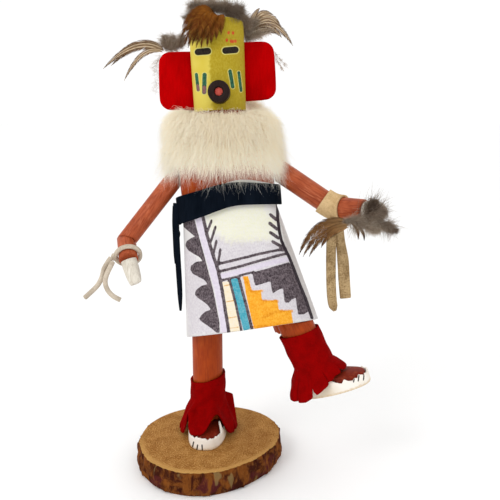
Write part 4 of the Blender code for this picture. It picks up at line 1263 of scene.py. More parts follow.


# The kilt's areas: a pigment and an outline in the picture's pixels; two of the pigments are
# painted shade.
KILT_AREAS: tuple[tuple[str, tuple[Pixel, ...]], ...] = (
    # Painted shade: greyer areas over the kilt's lower front and its left edge.
    ("painted_shade_low", (
        (188, 248), (200, 262), (213, 290), (219, 332), (190, 336), (184, 290), (182, 250),
    )),
    ("painted_shade_low", (
        (215, 235), (262, 236), (282, 246), (300, 284), (312, 318), (222, 332), (212, 255),
    )),
    ("ivory", ((203, 208), (262, 205), (276, 222), (270, 240), (228, 242), (210, 228))),
    ("lavender", (
        (193.8, 213), (201, 212), (206.6, 234), (212, 252.4), (217.5, 267.6), (221.8, 287.1),
        (225.1, 308.8), (227.4, 332), (220.9, 333), (220.2, 321.8), (214.2, 289.3),
        (209.3, 270.8), (203.4, 250.2), (197.9, 230.7),
    )),
    ("lavender", (
        (219.4, 274.3), (235.9, 270.3), (257.6, 264.1), (279.3, 258.4), (289, 256.7),
        (290.1, 260.9), (268.4, 266), (253.2, 270.6), (235.9, 275.2), (221.8, 278.7),
    )),
    ("pencil", (
        (192.5, 212), (197.4, 230.7), (203.4, 252.4), (208.8, 273), (213.1, 289.3),
        (216.9, 308.8), (219.4, 321.8), (219.8, 333), (216.4, 332.6), (212, 328.8), (206.6, 325),
        (201.7, 321.8), (199.2, 319.1), (201, 315.3), (205.5, 311.5), (211, 309.6), (207.7, 305),
        (202.8, 301.2), (197.4, 297.7), (194.5, 293.8), (196.6, 289.3), (201.2, 286),
        (207.5, 284.1), (204.5, 280), (198.5, 276.8), (192.5, 273.5), (190.1, 269.2),
        (191.4, 265.4), (195.8, 261.9), (202.5, 260.9), (199, 256.7), (193.6, 254), (188, 250.2),
        (185.2, 245.4), (186.7, 241), (190.9, 238.3), (194.9, 236.4), (189.8, 232.3),
        (185.2, 228.5), (181.7, 224.8), (180.6, 212),
    )),
    ("orange", (
        (243.3, 276.8), (248, 275.7), (250.2, 283.8), (250.9, 290.6), (260.8, 289.9),
        (261.9, 299), (263.5, 301), (277.3, 299.7), (278.8, 309.9), (282.5, 310.9), (291, 310.1),
        (293.1, 321.8), (292.5, 324.5), (268.4, 327.2), (254.3, 329), (251.6, 319.6),
        (246.7, 297.9),
    )),
    ("turquoise", (
        (229.6, 278.4), (237.6, 278.4), (243.7, 300.1), (250.2, 329), (243.7, 331),
        (236.1, 303.4),
    )),
    ("cream", ((222, 282), (230, 281), (236, 305), (241, 331), (228.5, 332), (225, 308))),
    # Painted shade on the kilt's right side, beyond the ink line, where it turns away.
    ("painted_shade_side", (
        (279, 215), (288, 240), (301, 268), (318, 312), (312, 316), (300, 284), (286, 250),
    )),
    ("pencil", (
        (252.2, 272.5), (268.4, 268.1), (289, 262.2), (292.8, 266.5), (296.1, 276.8),
        (301.5, 289.3), (306.4, 302.3), (308.3, 311.5), (304.2, 314.2), (298.2, 314.7),
        (296.8, 305.5), (295.7, 297.9), (291.7, 299.6), (289, 302.5), (284.7, 302.8),
        (283.6, 294.7), (283.1, 287.6), (277.1, 290.6), (272.8, 293.6), (271.7, 289.3),
        (270.6, 281.1), (263, 283.6), (255.4, 286), (253.9, 280.6),
    )),
)
# The kilt's lines: a pigment, a width and the pixels that the line passes.
KILT_LINES: tuple[tuple[str, float, tuple[Pixel, ...]], ...] = (
    ("pencil", 2.9, (
        (201.7, 211), (206.8, 234), (212.3, 252.9), (217.5, 268.1), (221.6, 287.1),
        (225.1, 308.8), (228.8, 332),
    )),
    ("pencil", 2.0, ((206.4, 234), (211.5, 220.7))),
    ("pencil", 2.0, ((209.7, 244.8), (215.5, 226.9))),
    ("pencil", 2.0, ((213.1, 255.1), (216.5, 241))),
    ("pencil", 2.2, ((218, 263.2), (220.4, 249.7))),
    ("pencil", 2.3, (
        (218.5, 263.9), (235.9, 259.8), (257.6, 254.3), (277.1, 250.2), (285.8, 249.1),
    )),
    ("pencil", 2.3, (
        (219.1, 271.5), (235.9, 267.6), (257.6, 261.3), (274.9, 256.5), (286.3, 253.5),
    )),
    ("pencil", 2.0, ((221.3, 280.4), (235.9, 276.8), (253.2, 271.9))),
    ("ink", 2.6, (
        (277.6, 205), (277.6, 217.7), (279.3, 230.7), (281.2, 239.9), (284.9, 248.6),
        (289, 256.7), (293.6, 268.1), (299.9, 284.9), (305.8, 299), (312, 318),
    )),
    ("pencil", 2.8, ((276.2, 219.7), (270.4, 214.7))),
    ("pencil", 2.8, ((276.9, 229.1), (269.7, 223.3))),
    ("pencil", 2.8, ((278.4, 238.1), (270.4, 232.6))),
    ("pencil", 2.8, ((284.7, 248.3), (272.8, 241.8))),
    ("pencil", 2.0, ((229.4, 279.5), (235.9, 304.4), (241.5, 331))),
    ("pencil", 2.5, ((238.9, 278.7), (246.5, 306.6), (252.2, 330))),
)
# The round ends of the kilt's lines.
KILT_DOTS: tuple[Pixel, ...] = (
    (228.3, 281.1), (238.6, 278.7), (253.2, 271.6), (285.8, 253.5), (309.1, 311.5),
    (211.5, 220.7), (215.5, 226.7), (216.5, 240.6), (220.4, 249.3),
)


@dataclass(frozen=True)
class Kilt:
    """The painted kilt: one sheet of white leather round the hips."""

    waist: Waist = Waist()
    thickness: float = 1.4
    margin: float = 0.6
    hem_centre: Point = (31.0, -3.0, 0.0)
    hem_half_width: float = 48.0
    hem_half_depth: float = 39.0
    hem_turn: float = -17.0
    hem_height: float = 82.3
    hem_rise: tuple[float, float] = (0.15, -0.31)
    columns: int = 330
    rows: int = 122
    line_spread: float = 0.5
    hem_steps: int = 72
    spare: float = 1.06

    def hem(self, turn: float) -> Vector:
        """A point of the hem, which the raised thigh pushes out and lifts."""
        c, s = math.cos(turn), math.sin(turn)
        across = Matrix.Rotation(math.radians(self.hem_turn), 3, "Z")
        level = across @ Vector((self.hem_half_width * c, self.hem_half_depth * s, 0))
        x, y = self.hem_centre[0] + level.x, self.hem_centre[1] + level.y
        return mm((x, y, self.hem_height + self.hem_rise[0] * x + self.hem_rise[1] * y))

    def point(self, turn: float, share: float) -> Vector:
        """A point of the sheet: -1 at its top edge, 0 under the sash, 1 at its hem."""
        middle, half = self.waist.sash_middle(turn), self.waist.sash_half(turn)
        fold = middle - half - self.margin
        if share <= 0:
            corner = 2.8 * max(math.cos(turn + math.radians(55)), 0.0) ** 6
            top = middle + half - 1.0 + corner
            return self.waist.point(turn, 2 * self.waist.gap, fold + (top - fold) * -share)
        start = self.waist.point(turn, 2 * self.waist.gap, fold)
        return mix(start, self.hem(turn), share)

    def turn_of(self, share: float) -> float:
        """Directions round the kilt, closer together on its painted front."""
        return math.tau * share - 0.42 * math.sin(math.tau * share - math.pi / 2) - math.pi

    def mesh(self) -> bmesh.types.BMesh:
        """A tube of quads bent to the kilt, one wall thick."""
        bm = sliced_tube(self.columns, self.rows, 2.0)
        for vert in bm.verts:
            turn = self.turn_of(math.atan2(vert.co.y, vert.co.x) / math.tau)
            share = -vert.co.z
            wave = 0.35 * math.sin(3 * turn + 1.0) * max(share, 0.0)
            place = self.point(turn, share)
            way = Vector((math.cos(turn), math.sin(turn), 0))
            vert.co = place + way * (wave * MM)
        bmesh.ops.recalc_face_normals(bm, faces=bm.faces)
        return bm

    def build(self) -> None:
        """Make the kilt, draw on it and dress it."""
        piece = as_object("kilt_sheet", self.mesh())
        area = sum(polygon.area for polygon in piece.data.polygons)
        applied(walled(piece, self.thickness))
        drawing = Drawing.on(piece)
        self.draw(drawing)
        drawing.store(piece)
        finish = PaintedHide(
            "kilt_hide",
            (0.72, 0.705, 0.69),
            (0.62, 0.60, 0.595),
            (
                # Painted shade over the kilt's lower front and left edge.
                ("painted_shade_low", (0.54, 0.50, 0.54), (0.66, 0.63, 0.66), 0.4, 9.0),
                ("ivory", (0.74, 0.73, 0.56), (0.80, 0.79, 0.66), 0.35, 14.0),
                ("lavender", (0.60, 0.54, 0.64), (0.70, 0.65, 0.73), 0.85, 0.9),
                ("cream", (0.80, 0.68, 0.46), (0.82, 0.74, 0.60), 0.7, 0.8),
                ("orange", (0.78, 0.30, 0.010), (0.88, 0.44, 0.035), 0.97, 0.8),
                ("amber", (0.66, 0.22, 0.006), (0.80, 0.34, 0.02), 0.55, 2.0),
                ("peach", (0.62, 0.33, 0.10), (0.74, 0.50, 0.26), 0.9, 0.6),
                ("turquoise", (0.035, 0.30, 0.40), (0.13, 0.40, 0.48), 0.97, 0.6),
                # Painted shade on the kilt's right side.
                ("painted_shade_side", (0.50, 0.47, 0.46), (0.62, 0.59, 0.57), 0.7, 2.0),
                ("pencil", (0.032, 0.022, 0.027), (0.16, 0.125, 0.14), 0.94, 0.7),
                ("ink", (0.016, 0.010, 0.014), (0.05, 0.035, 0.045), 0.97, 0.5),
            ),
        )
        dress(piece, finish.build(), Slot.KILT, "kilt")
        hem = [self.hem(math.tau * i / self.hem_steps) for i in range(self.hem_steps + 1)]
        around = sum((first - second).length for first, second in zip(hem, hem[1:]))
        LOG.info("the kilt is cut from %.0f x %.0f mm", around / MM, area / around / MM)

    def draw(self, drawing: Drawing) -> None:
        """Draw the kilt's broad borders, stripes and steps, and its painted shade, in the picture's
        pixels.
        """
        for pigment, outline in KILT_AREAS:
            drawing.area(pigment, outline)
        for k in range(9):
            share = (k + 0.35) / 9
            left = (224.2 + 6.4 * share, 284.0 + 48 * share)
            drawing.stroke("peach", (left, (left[0] + 5.5 + 3.0 * share, left[1] - 1.2)), 1.2)
        for step in (
            ((244, 277), (252, 292), (262, 291)), ((263, 301), (278, 301)),
            ((280, 311), (292, 311)), ((262, 318), (276, 312)), ((252, 327), (290, 324)),
        ):
            drawing.stroke("amber", step, 2.6)
        for pigment, width, line in KILT_LINES:
            drawing.stroke(pigment, line, width + self.line_spread)
        for centre in KILT_DOTS:
            drawing.dot("ink", centre, 1.9)


@dataclass(frozen=True)
class Sash:
    """The dark sash, its knot and its two hanging ends."""

    waist: Waist = Waist()
    long_end: Ribbon = Ribbon(
        "sash_end_long",
        (
            (176, 203, -3), (176, 222, -3), (176.8, 240, -2.4), (178, 262, -2),
            (179.6, 288, -2.2), (180.6, 311, -2.2),
        ),
        (5.2, 5.2, 5.0, 4.8, 4.8, 4.8, 4.2, 1.4),
        (-0.5, -0.85, 0.0),
    )
    short_end: Ribbon = Ribbon(
        "sash_end_short",
        ((175, 206, 1), (174.6, 222, 1.4), (175.2, 240, 2.2), (175.8, 254, 2.4), (176.6, 264, 2.4)),
        (4.6, 4.6, 4.4, 4.2, 3.6),
        (-0.6, -0.8, 0.0),
    )
    cloth: Cloth = Cloth("sash_cloth", (0.005, 0.008, 0.014), (0.0015, 0.003, 0.006), 0.4)

    def build(self) -> None:
        """Make the band, the knot and the ends."""
        cloth = self.cloth.build()
        band = refined("sash_wrap", "sash_band", crease=60)
        dress(band, cloth, Slot.SASH, "sash_band")
        dress(refined("sash_knot_cloth", "sash_knot", crease=60), cloth, Slot.SASH, "sash_knot")
        dress(self.long_end.build(), cloth, Slot.SASH, "sash_tail_long")
        dress(self.short_end.build(), cloth, Slot.SASH, "sash_tail_short")


@dataclass(frozen=True)
class Cuff:
    """The tan cuff on the raised arm and the strips that hang from it."""

    long_strip: Ribbon = Ribbon(
        "cuff_strip_left",
        (
            (332, 218, -10.4), (331.4, 240, -12.4), (331, 262, -13), (331.2, 285, -13),
            (332.4, 302, -12.8), (335, 311, -12.6),
        ),
        (6.8, 6.9, 7.0, 7.0, 6.9, 6.9, 6.8, 6.4, 2.0),
    )
    short_strip: Ribbon = Ribbon(
        "cuff_strip_right",
        (
            (339, 218, -8.6), (340.4, 240, -10.2), (343, 260, -10.6), (344.2, 280, -10.6),
            (345.6, 298.5, -10.4),
        ),
        (5.6, 6.4, 8.2, 8.3, 8.0),
    )
    # The cuff's suede is the strips' tan suede made lighter: painted light where the cuff is lit.
    lit_cuff_suede: Suede = Suede("cuff_suede_lit", (0.74, 0.53, 0.29), (0.40, 0.25, 0.10), 0.4, 0.6)
    suede: Suede = Suede("strip_suede", (0.56, 0.40, 0.21), (0.14, 0.075, 0.024), 0.55, 0.75)

    def build(self) -> None:
        """Make the cuff and its strips."""
        suede = self.suede.build()
        cuff = self.lit_cuff_suede.build()
        dress(refined("arm_cuff_hide", "arm_cuff", crease=60), cuff, Slot.CUFF, "arm_cuff")
        dress(self.long_strip.build(), suede, Slot.CUFF, "cuff_strip_long")
        dress(self.short_strip.build(), suede, Slot.CUFF, "cuff_strip_short")


@dataclass(frozen=True)
class Lace:
    """The grey lace round the right wrist, and its two loose ends."""

    width: float = 3.4
    long_end: tuple[Point, ...] = (
        (-64.6, -19.0, 143.4),
        (-66.6, -20.3, 140.6),
        (-69.4, -20.8, 135.9),
        (-71.0, -21.0, 130.3),
        (-74.0, -21.0, 124.7),
        (-78.7, -20.6, 119.9),
        (-83.6, -20.0, 115.4),
    )
    short_end: tuple[Point, ...] = (
        (-63.4, -20.6, 140.6),
        (-64.8, -24.1, 137.4),
        (-67.0, -24.8, 132.7),
        (-68.1, -25.0, 127.8),
        (-66.8, -25.0, 122.5),
        (-63.3, -24.8, 118.0),
        (-58.4, -24.2, 114.9),
    )
    suede: Suede = Suede("lace_hide", (0.66, 0.57, 0.46), (0.34, 0.28, 0.21), 0.45, 0.35)

    def cord(self, name: str, places: Sequence[Point]) -> bpy.types.Object:
        """One loose end, a round cord with closed ends."""
        route = smooth_route([mm(place) for place in places], 4)
        curve = bpy.data.curves.new(name, "CURVE")
        curve.dimensions = "3D"
        curve.bevel_depth = self.width / 2 * MM
        curve.bevel_resolution = 4
        curve.use_fill_caps = True
        spline = curve.splines.new("POLY")
        spline.points.add(len(route) - 1)
        for point, place in zip(spline.points, route):
            point.co = (*place, 1.0)
        piece = bpy.data.objects.new(name, curve)
        bpy.context.scene.collection.objects.link(piece)
        return piece

    def build(self) -> None:
        """Make the loop and both loose ends."""
        suede = self.suede.build()
        dress(refined("lace_loop", "wrist_lace"), suede, Slot.LACE, "wrist_lace")
        ends = (
            ("lace_end_long", self.long_end, "lace_tail_long"),
            ("lace_end_short", self.short_end, "lace_tail_short"),
        )
        for name, places, node in ends:
            piece = dress(self.cord(name, places), suede, Slot.LACE, node)
            route = smooth_route([mm(place) for place in places], 4)
            length = sum((b - a).length for a, b in zip(route, route[1:]))
            tuple(route[0])


@dataclass(frozen=True)
class Head:
    """The yellow mask with its painted face, the tube snout and the red ears."""

    neck: Point = (10.4, 16.0, 214.0)
    height: float = 85.2
    chin_diameter: float = 31.6
    top_diameter: float = 34.4
    mask_height: float = 58.8
    mask_thickness: float = 1.6
    gap: float = 0.3
    columns: int = 150
    rows: int = 150

    def frame(self) -> Matrix:
        """The head's frame: where the neck is and how the head leans."""
        turn = lean((0, -2.5, 0), (-5.0, 0, 0))
        return Matrix.Translation(mm(self.neck)) @ turn.to_4x4()

    def radius(self, height: float) -> float:
        """The head's radius at a height over the neck."""
        growth = (self.top_diameter - self.chin_diameter) / self.height
        return (self.chin_diameter + growth * height) / 2

    def mask(self) -> bpy.types.Object:
        """A grid bent to half of the head, one wall thick."""
        bm = bmesh.new()
        bmesh.ops.create_grid(bm, x_segments=self.columns, y_segments=self.rows, size=1.0)
        for vert in bm.verts:
            turn = math.radians(270 + 90 * vert.co.x)
            share = (vert.co.y + 1) / 2
            height = self.height - self.mask_height * (1 - share)
            radius = self.radius(height) + self.gap
            height += 2.2 * math.cos(math.radians(90 * vert.co.x)) * max(share - 0.9, 0.0) * 10
            vert.co = Vector((radius * math.cos(turn), radius * math.sin(turn), height)) * MM
        bmesh.ops.recalc_face_normals(bm, faces=bm.faces)
        if sum(face.normal.y for face in bm.faces) > 0:
            bmesh.ops.reverse_faces(bm, faces=bm.faces)
        bm.transform(self.frame())
        return applied(walled(as_object("mask_hide", bm), self.mask_thickness))

    def draw(self, drawing: Drawing) -> None:
        """Paint the eyes, cheek marks, brow dots and the painted shade of the darker side, in the
        picture's pixels.
        """
        # Painted shade: the face's right half, darker olive.
        drawing.area(
            "painted_shade_face", ((209.5, 20), (262, 10), (262, 120), (214, 116), (212, 96), (209.5, 70)),
        )
        for centre in ((202.9, 51.5), (230.4, 50.1)):
            left, right = (centre[0] - 4.9, centre[1] + 0.5), (centre[0] + 4.9, centre[1] - 0.3)
            drawing.stroke("halo", (left, right), 8.6)
            drawing.stroke("black", (left, right), 6.7)
        marks = (
            ((196.4, 74.4), (198.2, 89.9), 3.2), ((204.6, 74.9), (204.2, 92.1), 4.4),
            ((230.1, 71.3), (232.7, 86.7), 3.7), ((238.8, 72.6), (241.1, 90.5), 2.9),
        )
        for start, end, width in marks:
            drawing.stroke("halo", (start, end), width + 1.4)
            drawing.stroke("green", (start, end), width)
        for start, end, width in marks[:2]:
            low = (start[0] + (end[0] - start[0]) * 0.72, start[1] + (end[1] - start[1]) * 0.72)
            drawing.stroke("rust", (low, end), width * 0.8)
        for centre in (
            (228.6, 32.6), (233.0, 33.0), (226.8, 40.2), (231.2, 41.2), (232.9, 41.4),
            (235.5, 41.1),
        ):
            drawing.dot("red", centre, 2.7, 3.6)

    def build(self) -> None:
        """Make the mask, the snout and the ears."""
        piece = self.mask()
        drawing = Drawing.on(piece)
        self.draw(drawing)
        drawing.store(piece)
        finish = PaintedHide(
            "mask_paint",
            (0.66, 0.55, 0.095),
            (0.60, 0.47, 0.055),
            (
                # Painted shade on the face's right half.
                ("painted_shade_face", (0.37, 0.265, 0.010), (0.43, 0.32, 0.022), 0.85, 5.0),
                ("halo", (0.66, 0.62, 0.22), (0.60, 0.55, 0.14), 0.45, 0.8),
                ("green", (0.012, 0.055, 0.030), (0.03, 0.17, 0.10), 0.96, 0.6),
                ("rust", (0.20, 0.07, 0.08), (0.26, 0.13, 0.14), 0.7, 1.0),
                ("red", (0.50, 0.045, 0.012), (0.60, 0.12, 0.03), 0.9, 0.6),
                ("black", (0.010, 0.007, 0.006), (0.022, 0.016, 0.014), 0.98, 0.4),
            ),
        )
        dress(piece, finish.build(), Slot.MASK, "mask_face")
        black = StainedWood(
            "snout_black", (0.009, 0.003, 0.002), (0.02, 0.007, 0.005), (0.04, 0.015, 0.01), 0.42,
        )
        dress(refined("snout_tube", "snout", crease=40), black.build(), Slot.SNOUT, "snout")
        pink = StainedWood(
            "snout_pink", (0.50, 0.075, 0.05), (0.38, 0.04, 0.03), (0.60, 0.16, 0.11), 0.5,
        )
        dress(refined("snout_inside", "snout_core"), pink.build(), Slot.CORE, "snout_core")
        felt = Cloth("ear_felt", (0.50, 0.0, 0.001), (0.33, 0.0, 0.0005), 0.4).build()
        for side in ("right", "left"):
            ear = refined(f"ear_pad_{side}", f"ear_{side}", crease=80)
            dress(ear, felt, Slot.EAR, f"ear_{side}")


@dataclass(frozen=True)
class FurCollar:
    """The white fur round the neck: a soft core, hair that hides it, and long stray hairs."""

    centre: Point = (10.5, 11.5, 214.0)
    wide: float = 33.5
    deep: float = 25.5
    neck: Point = (8.0, 20.5, 0.0)
    throat: float = 20.0
    bottom: float = 207.0
    front_top: float = 240.4
    back_top: float = 250.0
    pile: int = 37000
    strays: int = 2600
    cover: float = 2.0
    hem_cover: float = 7.0
    hem_lift: float = 30.0
    strand: tuple[float, float] = (0.10, 0.19)
    locks: int = 520
    seed: int = 11

    def core(self, turn: np.ndarray, share: np.ndarray) -> tuple[np.ndarray, np.ndarray]:
        """The surface that the hair grows from.

        Args:
            turn: angles round the neck in radians.
            share: 0 at the bottom, 1 at the throat.

        Returns:
            The points in metres, and the way that the surface faces there.
        """
        over = np.clip((share - 0.72) / 0.28, 0, 1)
        around = outward(turn)
        sine = np.sin(over * np.pi / 2)[:, None]
        square = np.linalg.norm(around, ord=4, axis=1)[:, None]
        wide = around / square * (self.wide, self.deep, 0.0) + np.array(self.centre) * LEVEL
        tight = np.array(self.neck) + around * self.throat
        points = wide + (tight - wide) * (1 - np.sqrt(1 - 0.995 * over**2))[:, None]
        behind = np.clip((points[:, 1] - 27.0) / 9.0, 0, 1)
        top = self.front_top + (self.back_top - self.front_top) * behind
        points[:, 2] = self.bottom + (top - self.bottom) * share + LOG_TOP
        facing = around * (1 - 0.75 * sine) + np.array([0.0, 0.0, 1.0]) * sine * 0.9
        return points * MM, unit(facing)

    def body(self) -> bpy.types.Object:
        """The collar's soft core, bent from the CAD's ring, 2 mm under the hair's roots."""
        bm = node_bmesh("fur_collar")
        points = np.array([vert.co[:] for vert in bm.verts])
        normals = np.array([vert.normal[:] for vert in bm.verts])
        cad_low, cad_high = (corner[2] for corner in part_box("fur_collar"))
        share = np.clip((points[:, 2] - cad_low) / (cad_high - cad_low), 0, 1)
        level = points - np.array(mm(self.centre))
        outer = (level * normals)[:, :2].sum(axis=1) > 0
        places, facing = self.core(np.arctan2(level[:, 1], level[:, 0]), share)
        inner = places.copy()
        away = np.linalg.norm(level[:, :2], axis=1, keepdims=True)
        closer = np.minimum(away, self.throat * MM + np.clip(0.6 - share[:, None], 0, 1) * away)
        inward = level[:, :2] / np.maximum(away, 1e-9) * closer
        inner[:, :2] = np.array(mm(self.centre))[:2] + inward
        low = np.clip(1 - share / 0.35, 0, 1)
        inset = (self.cover + self.hem_cover * low)[:, None] * MM
        raised = np.clip(0.2 - share, 0, 1)[:, None] * np.array([0, 0, self.hem_lift]) * MM
        body = np.where(outer[:, None], places - facing * inset, inner) + raised
        for vert, place in zip(bm.verts, body):
            vert.co = place
        return rounded(as_object("fur_body", bm, 180.0), 1)

    def hair(
        self, name: str, turn: np.ndarray, share: np.ndarray, random: np.random.Generator
    ) -> bpy.types.Object:
        """Hairs that leave the core outwards, hang down and gather into pointed locks.

        Args:
            name: the piece's name.
            turn: the angles round the neck where the hairs start.
            share: how high up the core they start.
            random: the seeded source of chance.

        Returns:
            The piece.
        """
        count = len(turn)
        roots, normals = self.core(turn, share)
        low = np.clip(1 - share / 0.75, 0, 1)
        flare = np.clip(1 - np.abs(turn + 0.15) / 0.7, 0, 1) * low
        length = (13.0 + 5.0 * low + 9.0 * flare) * random.triangular(0.40, 0.9, 1.35, count) * MM
        down = np.array([0.0, 0.0, -1.0])
        sway = random.normal(0, 0.24, roots.shape)
        around = outward(turn)
        slack = low[:, None]
        rise = np.clip(np.sin(turn) * 2.5 - 1.2, 0, 1)[:, None]
        rise = rise * np.clip(share * 2 - 0.8, 0, 1)[:, None]
        aside = 0.45 * np.clip(np.abs(np.cos(turn)) * 2 - 0.8, 0, 1)[:, None] * (1 - slack)
        out = around * (0.75 + 0.5 * flare[:, None])
        leave = normals * 0.5 + out * 0.5 + down * (0.75 * slack + 0.12) - down * rise + sway
        bend = out * (0.65 + 0.6 * aside) + down * (0.45 + 0.75 * slack - 0.3 * aside)
        bend = unit(bend - down * rise * 0.9 + sway)
        hang = out * (0.30 + 0.6 * aside) + down * (1.0 - 1.0 * rise - 0.3 * aside)
        hang = unit(hang + sway * 0.9)
        start = roots - normals * (1.5 * MM)
        first = start + unit(leave) * (length * 0.36)[:, None]
        second = first + bend * (length * 0.34)[:, None]
        tip = second + hang * (length * 0.32)[:, None]
        picks = random.choice(count, self.locks, replace=False)
        nearest = np.empty(count, int)
        for begin in range(0, count, 4000):
            part = roots[begin : begin + 4000]
            gaps = ((part[:, None] - roots[picks][None]) ** 2).sum(axis=2)
            nearest[begin : begin + 4000] = gaps.argmin(axis=1)
        pull = (random.uniform(0.20, 0.85, count) * (0.25 + 0.75 * low))[:, None]
        target = tip[picks][nearest]
        reach = np.linalg.norm(target - roots, axis=1, keepdims=True)
        kept = np.minimum(1.0, length[:, None] * 1.15 / np.maximum(reach, 1e-6))
        target = roots + (target - roots) * kept
        tip = tip + (target - tip) * pull
        second = second + ((target + roots) / 2 - second) * pull * 0.35
        paths = np.stack([start, first, second, tip], axis=1)
        widths = random.uniform(*self.strand, count) * MM
        along = np.tile(np.linspace(0, 1, 4), (count, 1))
        warm = 0.30 * np.exp(-(((roots[:, 0] / MM - self.centre[0]) / 16) ** 2)) * (1 - low)
        tone = random.normal(0.20, 0.26, count) + warm
        tone = np.clip(tone + 0.2 * random.random(self.locks)[nearest], 0, 1)
        return Strands().mesh(name, paths, widths, {"along": along, "tone": tone})

    def stray_hairs(
        self, roots: np.ndarray, normals: np.ndarray, random: np.random.Generator
    ) -> bpy.types.Object:
        """Long fine hairs that fall over the chest, the sash and the shoulders."""
        count = len(roots)
        sway = random.normal(0, 0.20, roots.shape)
        way = unit(normals * 0.45 + np.array([0, 0, -1.0]) + sway)
        length = random.triangular(11, 17, 31, count)[:, None] * MM
        side = random.normal(0, 0.5, (count, 1)) * np.array([1.0, 0.0, 0.0])
        first = roots + unit(way + normals * 0.3) * length * 0.33
        second = first + unit(way + side * 0.4) * length * 0.33
        tip = second + unit(way * 0.6 + side + np.array([0, 0, -0.6])) * length * 0.34
        paths = np.stack([roots - normals * MM, first, second, tip], axis=1)
        widths = random.uniform(0.10, 0.16, count) * MM
        along = np.tile(np.linspace(0.4, 1, 4), (count, 1))
        numbers = {"along": along, "tone": random.uniform(0, 0.25, count)}
        return Strands().mesh("fur_strays", paths, widths, numbers)

    def build(self) -> None:
        """Make the body, the pile in three parts, and the stray hairs."""
        random = np.random.default_rng(self.seed)
        # The darker first stop is painted shade among the hair's roots.
        stops = ((0.0, (0.66, 0.55, 0.38)), (0.35, (0.93, 0.87, 0.71)), (1.0, (0.98, 0.95, 0.86)))
        finish = Hair("rabbit_fur", stops, (0.86, 0.74, 0.53), roughness=0.7, glow=0.13).build()
        skin = Suede("fur_skin", (0.94, 0.86, 0.70), (0.84, 0.74, 0.56), 0.8, 0.1).build()
        dress(self.body(), skin, Slot.FUR, "fur_collar")
        turn = random.uniform(-math.pi, math.pi, self.pile)
        share = np.maximum(random.random(self.pile), 0.16 * random.random(self.pile))
        kept = random.random(self.pile) < 0.30 + share / 0.30
        turn, share = turn[kept], share[kept]
        parts = {
            "fur_front": (turn < -0.53) & (turn > -2.62),
            "fur_right": (turn <= -2.62) | (turn > 1.57),
            "fur_left": (turn >= -0.53) & (turn <= 1.57),
        }
        for name, chosen in parts.items():
            LOG.info("%s has %d hairs", name, chosen.sum())
            dress(self.hair(name, turn[chosen], share[chosen], random), finish, Slot.FUR)
        turn, share = random.uniform(-3.4, 0.3, self.strays), random.uniform(0.0, 0.45, self.strays)
        dress(self.stray_hairs(*self.core(turn, share), random), finish, Slot.FUR)


@dataclass(frozen=True)
class Barbs:
    """Barbs ready to be meshed: their paths, their widths and what they carry."""

    paths: np.ndarray
    widths: np.ndarray
    along: np.ndarray
    across: np.ndarray
    tone: np.ndarray
    shade: np.ndarray

    @staticmethod
    def piece(name: str, bunches: Sequence["Barbs"], blunt: float) -> bpy.types.Object:
        """Mesh several bunches as one piece."""
        numbers = {
            key: np.concatenate([getattr(bunch, key) for bunch in bunches])
            for key in ("along", "across", "tone", "shade")
        }
        paths = np.concatenate([bunch.paths for bunch in bunches])
        widths = np.concatenate([bunch.widths for bunch in bunches])
        return Strands().mesh(name, paths, widths, numbers, blunt)


@dataclass(frozen=True)
class Hackle:
    """A hackle: a bent shaft, and fine barbs that end on one smooth pointed outline.

    Its root, the pull of its bend and its tip are spots of the picture: a pixel and a depth.
    """

    root: Point
    pull: Point
    tip: Point
    width: float = 6.0
    shade: float = 0.0
    pairs: int = 150
    slant: float = 0.15
    facing: Point = (0.0, -1.0, 0.3)

    def line(self, share: np.ndarray) -> tuple[np.ndarray, np.ndarray]:
        """Points along the shaft and the way that it runs there, by shares of its length."""
        root, pull, tip = (PICTURE.spot(spot) for spot in (self.root, self.pull, self.tip))
        t = share[..., None]
        points = root * (1 - t) ** 2 + pull * 2 * t * (1 - t) + tip * t**2
        return points, unit((pull - root) * (1 - t) + (tip - pull) * t)

    def barbs(self, random: np.random.Generator) -> Barbs:
        """Lay the barbs, and the shaft with them."""
        count = self.pairs * 2
        start = np.repeat(np.linspace(0.02, 0.97, self.pairs), 2)
        hand = np.tile([1.0, -1.0], self.pairs)
        split = random.normal(0, 0.010, count // 14 + 1)[np.arange(count) // 14]
        end = start + self.slant * (1.1 - 0.5 * start) + split + random.normal(0, 0.006, count)
        stations = np.linspace(0, 1, 4)
        share = np.clip(start[:, None] + (end - start)[:, None] * stations, 0, 1)
        points, ahead = self.line(share)
        swell = np.sin(np.pi * np.clip(end, 0.02, 1.0) ** 0.85) ** 0.75
        half = self.width / 2 * MM * np.maximum(swell, 0.03) * random.uniform(0.90, 1.05, count)
        facing = unit(np.array(self.facing))
        aside = unit(np.cross(ahead, facing)) * hand[:, None, None]
        out = half[:, None] * stations**0.85
        cup = (0.22 * out * stations)[..., None] * facing
        paths = points + aside * out[..., None] - cup
        shaft, _ = self.line(np.linspace(0, 0.97, 4))
        thick = np.append(random.uniform(0.20, 0.30, count), 0.5) * MM
        tone = np.append(np.clip(random.normal(0.25, 0.2, count) + split * 9, 0, 1), 0.8)
        across = np.append(np.tile(stations, (count, 1)), np.zeros((1, 4)), 0)
        return Barbs(
            np.append(paths, shaft[None], 0),
            thick,
            np.append(share, np.linspace(0, 1, 4)[None], 0),
            across,
            np.repeat(tone[:, None], 4, 1),
            np.full((count + 1, 4), self.shade),
        )


